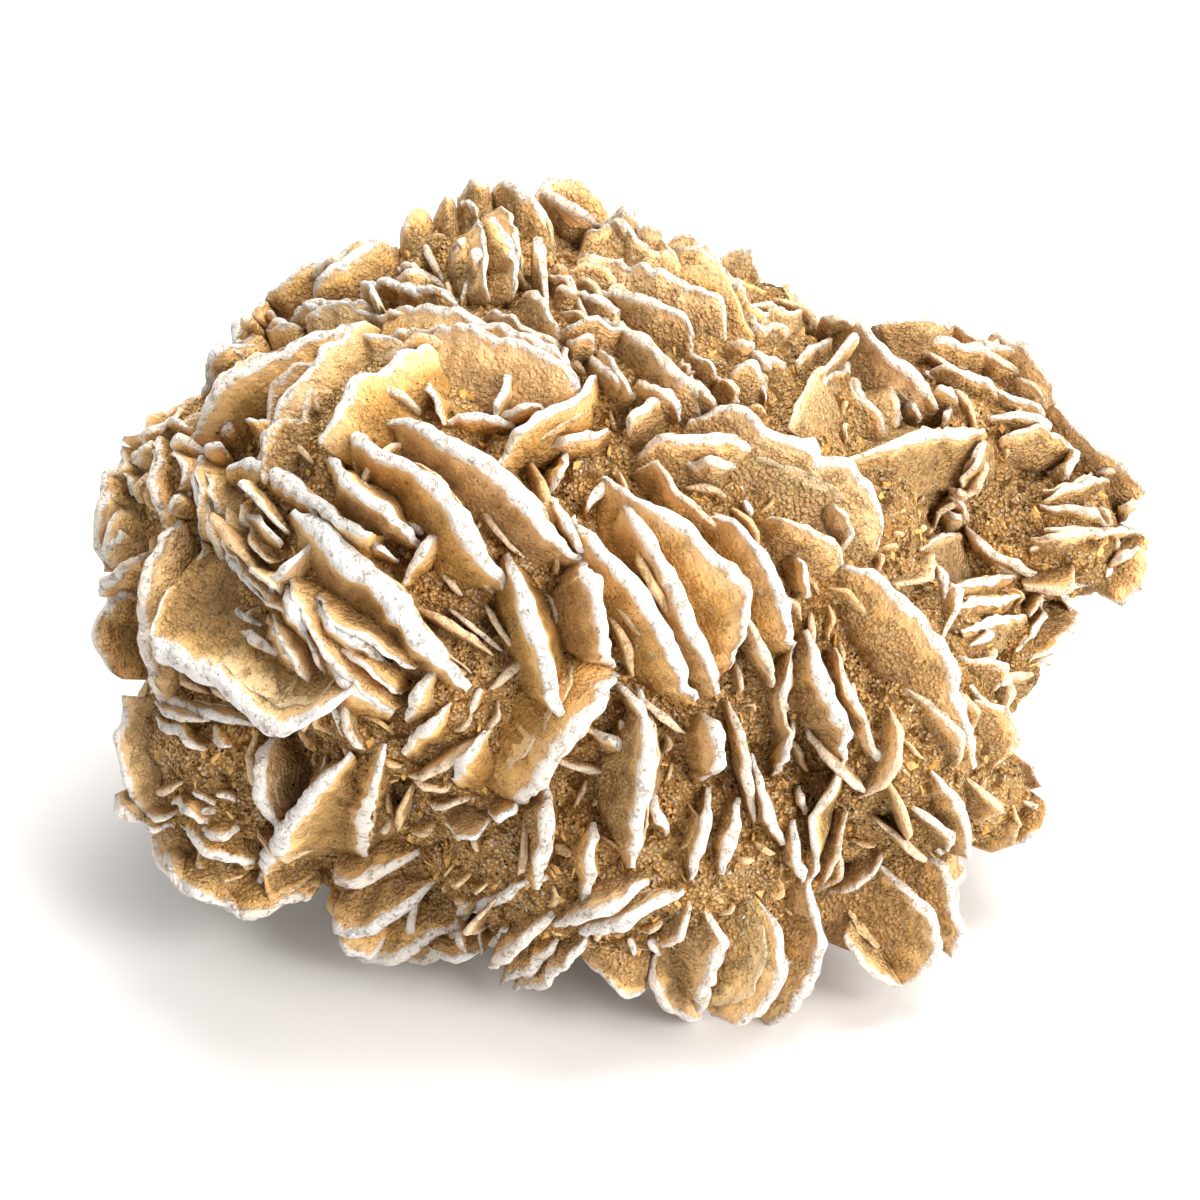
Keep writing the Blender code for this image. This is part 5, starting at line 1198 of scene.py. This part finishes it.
def write_points(mesh, points):
    mesh.vertices.foreach_set("co", points.astype(np.float32).ravel())


def mark(mesh, name, values):
    """Writes one number at each point of a mesh, for the materials to read."""
    mesh.attributes.new(name, "FLOAT", "POINT").data.foreach_set("value", np.float32(values))


def keep_inside(mesh):
    """Holds every point inside the solid's box."""
    low, high = (np.array(corner) for corner in CAD_BOX)
    write_points(mesh, np.clip(read_points(mesh), low + INSET, high - INSET))
    mesh.update()


def piece(name, mesh, material):
    """One piece of the rose, riding on its one body."""
    keep_inside(mesh)
    obj = into_scene(name, mesh, material)
    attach(obj, "root")
    return obj


def made_real(obj, name):
    """The mesh that an object's modifier makes, under a new name. The object itself goes."""
    bpy.context.view_layer.update()
    graph = bpy.context.evaluated_depsgraph_get()
    mesh = bpy.data.meshes.new_from_object(obj.evaluated_get(graph))
    bpy.data.objects.remove(obj)
    mesh.name = name
    return mesh


def blades_piece(name, growth, material):
    mesh = bpy.data.meshes.new(name)
    mesh.from_pydata((np.concatenate(growth.points) * METRES).tolist(), [], growth.faces)
    mesh.shade_smooth()
    for value, parts in growth.values.items():
        mark(mesh, value, np.concatenate(parts))
    mark(mesh, "crust", np.full(len(mesh.vertices), growth.crust))
    return piece(name, mesh, material)


def sand_body(material, chords):
    """The sandy body: its lobes melted into one skin, roughened, and marked where it meets a blade, for
    the painted shade there.
    """
    shape = bmesh.new()
    for middle, axes, sizes in LOBES:
        ball = bmesh.ops.create_icosphere(shape, subdivisions=5, radius=1.0)
        for vert in ball["verts"]:
            offset = sum((axis * (size * c) for axis, size, c in zip(axes, sizes, vert.co)), Vector())
            vert.co = (middle + offset) * METRES
    mesh = bpy.data.meshes.new("sand_lobes")
    shape.to_mesh(mesh)
    shape.free()
    lobes_object = into_scene("sand_lobes", mesh, None)
    melt = lobes_object.modifiers.new("melt", "REMESH")
    melt.mode = "VOXEL"
    melt.voxel_size = SAND_VOXEL * METRES
    mesh = made_real(lobes_object, "sand_matrix")
    normals = np.empty(len(mesh.vertices) * 3, np.float32)
    mesh.vertex_normals.foreach_get("vector", normals)
    points = read_points(mesh).astype(float) / METRES
    rise = ripples(points, SAND_RELIEF) - SAND_SET_BACK
    points = (points + normals.reshape(-1, 3) * rise[:, None]) * METRES
    write_points(mesh, points)
    mesh.shade_smooth()
    tree = search_tree(chords)
    foot = [math.exp(-tree.find(point)[2] / FOOT_SHADE) for point in points / METRES]
    # The depth that the flakes strewn on the sand take, which gives them painted shade.
    mark(mesh, "deep", np.full(len(points), SHARD_SHADE_DEPTH))
    mark(mesh, "foot", foot)
    obj = piece("sand_matrix", mesh, material)
    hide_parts("sand_rose")
    return obj


def add(tree, kind, inputs, **settings):
    """One node with these inputs, each a socket to link or a value to hold."""
    node = tree.nodes.new(kind)
    for name, value in settings.items():
        setattr(node, name, value)
    for name, value in inputs.items():
        if isinstance(value, bpy.types.NodeSocket):
            tree.links.new(value, node.inputs[name])
        else:
            node.inputs[name].default_value = value
    return node


STREW_SOCKETS = {
    "Surface": "NodeSocketGeometry",
    "Per Area": "NodeSocketFloat",
    "Bare Above": "NodeSocketFloat",
    "Smallest": "NodeSocketFloat",
    "Largest": "NodeSocketFloat",
    "Shape": "NodeSocketVector",
    "Sides": "NodeSocketInt",
    "Rings": "NodeSocketInt",
    "Seed": "NodeSocketInt",
    "Material": "NodeSocketMaterial",
}


def strewing_tree():
    """A node tree that strews one small faceted form over a surface."""
    tree = bpy.data.node_groups.new("strew", "GeometryNodeTree")
    for name, kind in STREW_SOCKETS.items():
        tree.interface.new_socket(name, in_out="INPUT", socket_type=kind)
    tree.interface.new_socket("Strewn", in_out="OUTPUT", socket_type="NodeSocketGeometry")
    put = partial(add, tree)
    math_node = partial(put, "ShaderNodeMath")
    given = put("NodeGroupInput", {}).outputs
    seed = given["Seed"]
    deep = put("GeometryNodeInputNamedAttribute", {"Name": "deep"}, data_type="FLOAT").outputs[0]
    below = math_node({0: deep, 1: given["Bare Above"]}, operation="SUBTRACT").outputs[0]
    share = math_node({0: below, 1: STREWN_RAMP}, operation="MULTIPLY", use_clamp=True).outputs[0]
    density = math_node({0: share, 1: given["Per Area"]}, operation="MULTIPLY").outputs[0]
    spots = put(
        "GeometryNodeDistributePointsOnFaces",
        {"Mesh": given["Surface"], "Density": density, "Seed": seed},
    )
    form = put(
        "GeometryNodeMeshUVSphere",
        {"Segments": given["Sides"], "Rings": given["Rings"], "Radius": 0.5},
    )
    turn = put(
        "FunctionNodeRandomValue",
        {0: (0.0, 0.0, 0.0), 1: (math.tau, math.tau, math.tau), "Seed": seed},
        data_type="FLOAT_VECTOR",
    )
    size = put(
        "FunctionNodeRandomValue",
        {2: given["Smallest"], 3: given["Largest"], "Seed": seed},
        data_type="FLOAT",
    )
    scale = put(
        "ShaderNodeVectorMath",
        {0: given["Shape"], "Scale": size.outputs[1]},
        operation="SCALE",
    )
    copies = put(
        "GeometryNodeInstanceOnPoints",
        {
            "Points": spots.outputs["Points"],
            "Instance": form.outputs["Mesh"],
            "Rotation": turn.outputs[0],
            "Scale": scale.outputs[0],
        },
    )
    real = put("GeometryNodeRealizeInstances", {"Geometry": copies.outputs[0]})
    painted = put(
        "GeometryNodeSetMaterial",
        {"Geometry": real.outputs[0], "Material": given["Material"]},
    )
    put("NodeGroupOutput", {"Strewn": painted.outputs[0]})
    return tree


def strewn_piece(name, tree, surfaces, material, per_mm2, bare_above, sizes, form, seed):
    """Grains or flakes over these surfaces, only where they lie deeper than bare_above."""
    joined = bmesh.new()
    for surface in surfaces:
        joined.from_mesh(surface.data)
    mesh = bpy.data.meshes.new("carrier")
    joined.to_mesh(mesh)
    joined.free()
    carrier = into_scene("carrier", mesh, None)
    modifier = carrier.modifiers.new("strew", "NODES")
    modifier.node_group = tree
    shape, sides, rings = form
    values = {
        "Per Area": per_mm2 / METRES**2,
        "Bare Above": bare_above,
        "Smallest": sizes[0] * METRES,
        "Largest": sizes[1] * METRES,
        "Shape": shape,
        "Sides": sides,
        "Rings": rings,
        "Seed": seed,
        "Material": material,
    }
    for item in tree.interface.items_tree:
        if item.in_out == "INPUT" and item.name in values:
            modifier[item.identifier] = values[item.name]
    mesh = made_real(carrier, name)
    mesh.shade_flat()
    return piece(name, mesh, material)


# ---------------------------------------------------------------- materials

# Faces of a blade, from its rim down to the sand, darkening with painted shade towards it.
PALE_HONEY = (0.85, 0.57, 0.28)
HONEY = (0.82, 0.45, 0.12)
AMBER_PAINTED_SHADE = (0.38, 0.165, 0.010)
# Changes on those faces.
MILKY = (0.80, 0.62, 0.40)
DULL_BROWN = (0.56, 0.37, 0.19)
PALE_FLECK = (0.85, 0.70, 0.48)
SANDED_FACE = (0.92, 0.62, 0.32)
SPECK_BLACK = (0.07, 0.035, 0.012)
# Rims.
CHALK_WHITE = (0.94, 0.92, 0.89)
CRACK_BROWN = (0.58, 0.40, 0.22)
PIT_BROWN = (0.46, 0.29, 0.13)
# Cemented sand.
AMBER_GRAIN = (0.76, 0.42, 0.13)
TAN_GRAIN = (0.95, 0.64, 0.31)
EARTHY = (0.42, 0.27, 0.13)
PALE_GRIT = (0.88, 0.67, 0.40)
SUGAR_WHITE = (0.88, 0.80, 0.66)
GRAIN_BLACK = (0.05, 0.035, 0.025)
# Painted shade in the sand's pores, in the gaps between its grains and at each blade's foot.
PORE_PAINTED_SHADE = (0.10, 0.04, 0.005)
GAP_PAINTED_SHADE = (0.22, 0.09, 0.008)
FOOT_PAINTED_SHADE = (0.36, 0.15, 0.02)

THROUGH_RADIUS = (1.0, 0.55, 0.25)  # how far light goes under the surface: red, green and blue
THROUGH_SCALE = 0.9
GYPSUM_IOR = 1.52
DULL_SHINE = 0.1


class Finish:
    """One material, built up socket by socket. Lengths are in millimetres."""

    def __init__(self, name):
        self.material = bpy.data.materials.new(name)
        self.material.use_nodes = True
        self.tree = self.material.node_tree
        self.tree.nodes.clear()
        place = self.node("ShaderNodeTexCoord", {}).outputs["Object"]
        scaled = self.node("ShaderNodeVectorMath", {0: place, "Scale": 1 / METRES}, operation="SCALE")
        self.place = scaled.outputs[0]

    def node(self, kind, inputs, **settings):
        return add(self.tree, kind, inputs, **settings)

    def value(self, name):
        return self.node("ShaderNodeAttribute", {}, attribute_name=name).outputs["Fac"]

    def noise(self, size, detail=2.0, rough=0.5, skew=0.0):
        inputs = {"Scale": 1 / size, "Detail": detail, "Roughness": rough, "Distortion": skew}
        return self.node("ShaderNodeTexNoise", {"Vector": self.place, **inputs}).outputs[0]

    def cells(self, size):
        """The distance from the nearest of many scattered spots, in spacings, and a colour for each."""
        made = self.node("ShaderNodeTexVoronoi", {"Vector": self.place, "Scale": 1 / size})
        return made.outputs["Distance"], made.outputs["Color"]

    def channels(self, colour):
        return self.node("ShaderNodeSeparateColor", {"Color": colour}).outputs

    def math(self, operation, a, b):
        return self.node("ShaderNodeMath", {0: a, 1: b}, operation=operation).outputs[0]

    def plus(self, a, b):
        return self.math("ADD", a, b)

    def minus(self, a, b):
        return self.math("SUBTRACT", a, b)

    def times(self, a, b):
        return self.math("MULTIPLY", a, b)

    def rise(self, value, low, high, to_low=0.0, to_high=1.0):
        """value eased from low..high to to_low..to_high, and held at the ends."""
        made = self.node(
            "ShaderNodeMapRange",
            {"Value": value, "From Min": low, "From Max": high, "To Min": to_low, "To Max": to_high},
            interpolation_type="SMOOTHSTEP",
        )
        return made.outputs[0]

    def blend(self, share, a, b):
        a, b = ((*x, 1.0) if isinstance(x, tuple) else x for x in (a, b))
        made = self.node("ShaderNodeMix", {0: share, 6: a, 7: b}, data_type="RGBA", blend_type="MIX")
        return made.outputs[2]

    def grains(self, size):
        """1 on each of many packed grains about this big, falling to 0 in the gaps between them."""
        return self.rise(self.cells(size)[0], 0.72, 0.3)

    def spots(self, size, radius, keep):
        """1 inside round spots of this radius, set about size apart. keep is the share of them kept."""
        distance, colour = self.cells(size)
        inside = self.rise(distance, radius / size, 0.6 * radius / size)
        kept = self.math("LESS_THAN", self.channels(colour)[0], keep)
        return self.times(inside, kept)

    def close(self, colour, roughness, height, bump, through):
        """Ends the material. height is in units of bump, and through is how much light passes under."""
        relief = self.node(
            "ShaderNodeBump",
            {"Height": height, "Distance": bump * METRES, "Strength": 1.0},
        )
        surface = self.node(
            "ShaderNodeBsdfPrincipled",
            {
                "Base Color": colour,
                "Roughness": roughness,
                "Normal": relief.outputs[0],
                "Subsurface Weight": through,
                "Subsurface Radius": THROUGH_RADIUS,
                "Subsurface Scale": THROUGH_SCALE * METRES,
                "IOR": GYPSUM_IOR,
                "Specular IOR Level": DULL_SHINE,
            },
        )
        self.node("ShaderNodeOutputMaterial", {"Surface": surface.outputs[0]})
        return self.material


def gypsum():
    """Honey-coloured faces with painted shade that darkens them to amber towards the sand, and lumpy
    white rims.
    """
    f = Finish("gypsum_blades")
    rim, deep, tone, frost = (f.value(name) for name in ("rim", "deep", "tone", "frost"))
    broad = f.noise(9.0, 2.0)
    fine = f.noise(0.8, 3.0, 0.6)
    lumps = f.noise(1.6, 2.0)
    depth = f.plus(deep, f.times(f.minus(broad, 0.5), 0.9))

    # Painted shade: the faces darken with depth from pale honey to dark amber towards the sand.
    colour = f.blend(f.rise(depth, 0.1, 0.8), PALE_HONEY, HONEY)
    colour = f.blend(f.rise(depth, 0.5, 1.1, 0, 0.9), colour, AMBER_PAINTED_SHADE)
    colour = f.blend(f.rise(tone, 0.55, 1.0, 0, 0.35), colour, MILKY)
    colour = f.blend(f.rise(f.noise(3.5, 3.0), 0.52, 0.75, 0, 0.3), colour, DULL_BROWN)
    colour = f.blend(f.rise(fine, 0.6, 0.78, 0, 0.4), colour, PALE_FLECK)

    broken = f.plus(f.minus(lumps, 0.5), f.minus(fine, 0.5))
    white = f.rise(f.plus(rim, f.times(broken, 0.8)), 0.3, 0.62)
    colour = f.blend(f.times(white, frost), colour, CHALK_WHITE)
    cracks = f.times(f.rise(f.noise(1.0, 4.0, 0.7), 0.44, 0.34), rim)
    colour = f.blend(f.times(cracks, 0.5), colour, CRACK_BROWN)
    pits = f.times(f.spots(1.3, 0.24, 0.4), rim)
    colour = f.blend(f.times(pits, 0.6), colour, PIT_BROWN)

    sandy_colour, sandy_height = crust(f)
    sandy_colour = f.blend(0.35, sandy_colour, SANDED_FACE)
    patches = f.times(f.minus(f.noise(2.2, 3.0, 0.6), 0.5), 1.6)
    crusted = f.rise(f.minus(f.plus(depth, patches), rim), 0.12, 0.75)
    crusted = f.times(crusted, f.value("crust"))
    colour = f.blend(crusted, colour, sandy_colour)
    specks = f.times(f.spots(0.8, 0.13, 0.5), f.rise(rim, 0.9, 0.4))
    colour = f.blend(f.times(specks, 0.85), colour, SPECK_BLACK)

    roughness = f.rise(rim, 0.1, 0.6, 0.5, 0.85)
    crumbs = f.times(f.noise(0.4, 3.0, 0.7), f.rise(f.plus(depth, rim), 0.2, 1.0, 0.35, 1.3))
    worn = f.minus(f.noise(1.0, 3.0, 0.6), f.plus(pits, cracks))
    height = f.plus(f.plus(crumbs, worn), f.times(sandy_height, f.times(crusted, 1.5)))
    return f.close(colour, roughness, height, 0.6, 0.18)


def crust(f):
    """The colour and the height of cemented sand: amber, tan, white and black grains, with painted shade
    in its pores and between its grains.
    """
    grain = f.channels(f.cells(0.3)[1])
    grit = f.noise(0.5, 4.0, 0.75)
    patches = f.noise(6.0, 3.0, 0.6)
    colour = f.blend(grain[0], AMBER_GRAIN, TAN_GRAIN)
    colour = f.blend(f.rise(patches, 0.48, 0.62, 0, 0.45), colour, EARTHY)
    colour = f.blend(f.rise(grit, 0.55, 0.7, 0, 0.7), colour, PALE_GRIT)
    colour = f.blend(f.math("GREATER_THAN", grain[1], 0.95), colour, SUGAR_WHITE)
    colour = f.blend(f.math("GREATER_THAN", grain[2], 0.97), colour, GRAIN_BLACK)
    # Painted shade in the pores and in the gaps between grains; both also sink in the bump.
    pores = f.rise(f.noise(1.5, 4.0, 0.75, 0.4), 0.475, 0.395)
    colour = f.blend(f.times(pores, 0.85), colour, PORE_PAINTED_SHADE)
    gaps = f.minus(1.0, f.grains(0.45))
    colour = f.blend(f.times(gaps, 0.55), colour, GAP_PAINTED_SHADE)
    height = f.minus(f.plus(grit, f.noise(1.1, 3.0, 0.7)), f.plus(pores, gaps))
    return colour, height


def sand():
    """The cemented sand between the blades, with painted shade where it meets one."""
    f = Finish("sandy_matrix")
    colour, height = crust(f)
    # Painted shade on the sand at each blade's foot.
    colour = f.blend(f.rise(f.value("foot"), 0.25, 0.95, 0, 0.7), colour, FOOT_PAINTED_SHADE)
    return f.close(colour, 0.9, height, 0.75, 0.1)


# ---------------------------------------------------------------- light and camera

WHITE = (1.0, 1.0, 1.0, 1.0)
PAPER = (0.78, 0.78, 0.78, 1.0)
PAPER_GLOW = 0.05
PAPER_ROUGHNESS = 0.9
SKY_STRENGTH = 0.56
FLOOR_HALF = 3.0  # in metres
WARM = (1.0, 0.97, 0.94)
# Lamps: name, place in metres, width in metres and power in watts.
LAMPS = (
    ("key", (0.13, 0.09, 0.64), 0.42, 6.1),
    ("right_fill", (0.50, -0.46, 0.36), 0.4, 8.0),
)
SENSOR_WIDTH = 36.0


def sky():
    world = bpy.data.worlds.new("white_sky")
    world.use_nodes = True
    backdrop = world.node_tree.nodes["Background"]
    backdrop.inputs["Color"].default_value = WHITE
    backdrop.inputs["Strength"].default_value = SKY_STRENGTH
    bpy.context.scene.world = world


def floor():
    mesh = bpy.data.meshes.new("floor")
    corners = [(x * FLOOR_HALF, y * FLOOR_HALF, 0) for x, y in ((-1, -1), (1, -1), (1, 1), (-1, 1))]
    mesh.from_pydata(corners, [], [(0, 1, 2, 3)])
    paper = bpy.data.materials.new("white_paper")
    paper.use_nodes = True
    inputs = paper.node_tree.nodes["Principled BSDF"].inputs
    inputs["Base Color"].default_value = PAPER
    inputs["Roughness"].default_value = PAPER_ROUGHNESS
    inputs["Emission Color"].default_value = WHITE
    inputs["Emission Strength"].default_value = PAPER_GLOW
    inputs["Specular IOR Level"].default_value = DULL_SHINE
    into_scene("floor", mesh, paper)


def lamp(name, place, size, power):
    light = bpy.data.lights.new(name, "AREA")
    light.size = size
    light.energy = power
    light.color = WARM
    obj = bpy.data.objects.new(name, light)
    obj.location = place
    towards = SHEET_MIDDLE * METRES - Vector(place)
    obj.rotation_euler = towards.to_track_quat("-Z", "Y").to_euler()
    bpy.context.scene.collection.objects.link(obj)


def stage():
    """A wide white floor, a white sky, a high soft light and a lower one from the front right."""
    bpy.context.scene.view_settings.view_transform = "Standard"
    sky()
    floor()
    for row in LAMPS:
        lamp(*row)


def camera():
    """Looks along the sheet's own line of sight and takes in the sheet from edge to edge."""
    lens = bpy.data.cameras.new("camera")
    lens.sensor_width = SENSOR_WIDTH
    lens.lens = SENSOR_WIDTH * EYE_DISTANCE / SHEET_SIDE
    obj = bpy.data.objects.new("camera", lens)
    obj.location = EYE * METRES
    obj.rotation_euler = SHEET_AWAY.to_track_quat("-Z", "Y").to_euler()
    bpy.context.scene.collection.objects.link(obj)
    bpy.context.scene.camera = obj


# ---------------------------------------------------------------- the rose

# Drawn blades and scales: the piece's name, its tables, its whitest rim and how much sand sticks to it.
FRONT_PIECES = (
    ("blades_centre", (MAIN_ROSETTE, BOWL), 1.0, 0.3),
    ("blades_left", (UPPER_LEFT, LEFT_LOBE, LEFT_ROSETTE, BOTTOM_LEFT), 0.95, 0.5),
    ("blades_low", (LOWER_MIDDLE, LOWER_RIGHT), 0.9, 0.7),
    ("blades_right", (TOP_FAN, TOP_RIGHT, RIGHT_UPPER, RIGHT_LOBE), 0.7, 0.75),
)
SCALE_PIECES = (
    ("scales_left", (LEFT_SCALES, ZIGZAG_SCALES, UPPER_SCALES), 0.9, 0.5),
    ("scales_right", (TOP_SCALES, MIDDLE_SCALES, RIGHT_SCALES), 0.7, 0.8),
)


def rose():
    """Every piece of the rose, from its large blades down to the loose grains."""
    chance = random.Random(COMPANION_SEED)
    blade_finish = gypsum()
    sand_finish = sand()
    grown = {}
    for name, tables, whitest, crusted in FRONT_PIECES:
        grown[name] = grow_front(tables, chance, whitest, crusted)
    grown["blades_rear"] = grow_rear()
    grown["blades_slivers"] = grow_slivers()
    for name, tables, whitest, crusted in SCALE_PIECES:
        grown[name] = grow_scales(tables, whitest, crusted)
    grown["seedlings_front"], grown["seedlings_rear"] = grow_seedlings(list(grown.values()))
    body = sand_body(sand_finish, [chord for growth in grown.values() for chord in growth.chords])
    blades = [blades_piece(name, growth, blade_finish) for name, growth in grown.items()]
    front = blades[: len(FRONT_PIECES)]
    tree = strewing_tree()
    strewn_piece("sand_grains", tree, [body], sand_finish, 0.5, EVERYWHERE, (0.22, 0.55), GRAIN, 1)
    strewn_piece("blade_grains", tree, front, sand_finish, 0.14, 0.5, (0.2, 0.55), GRAIN, 3)
    strewn_piece("crystal_flakes", tree, [body], blade_finish, 0.1, EVERYWHERE, (0.6, 1.9), FLAKE, 2)


def main():
    rose()
    stage()
    camera()


main()
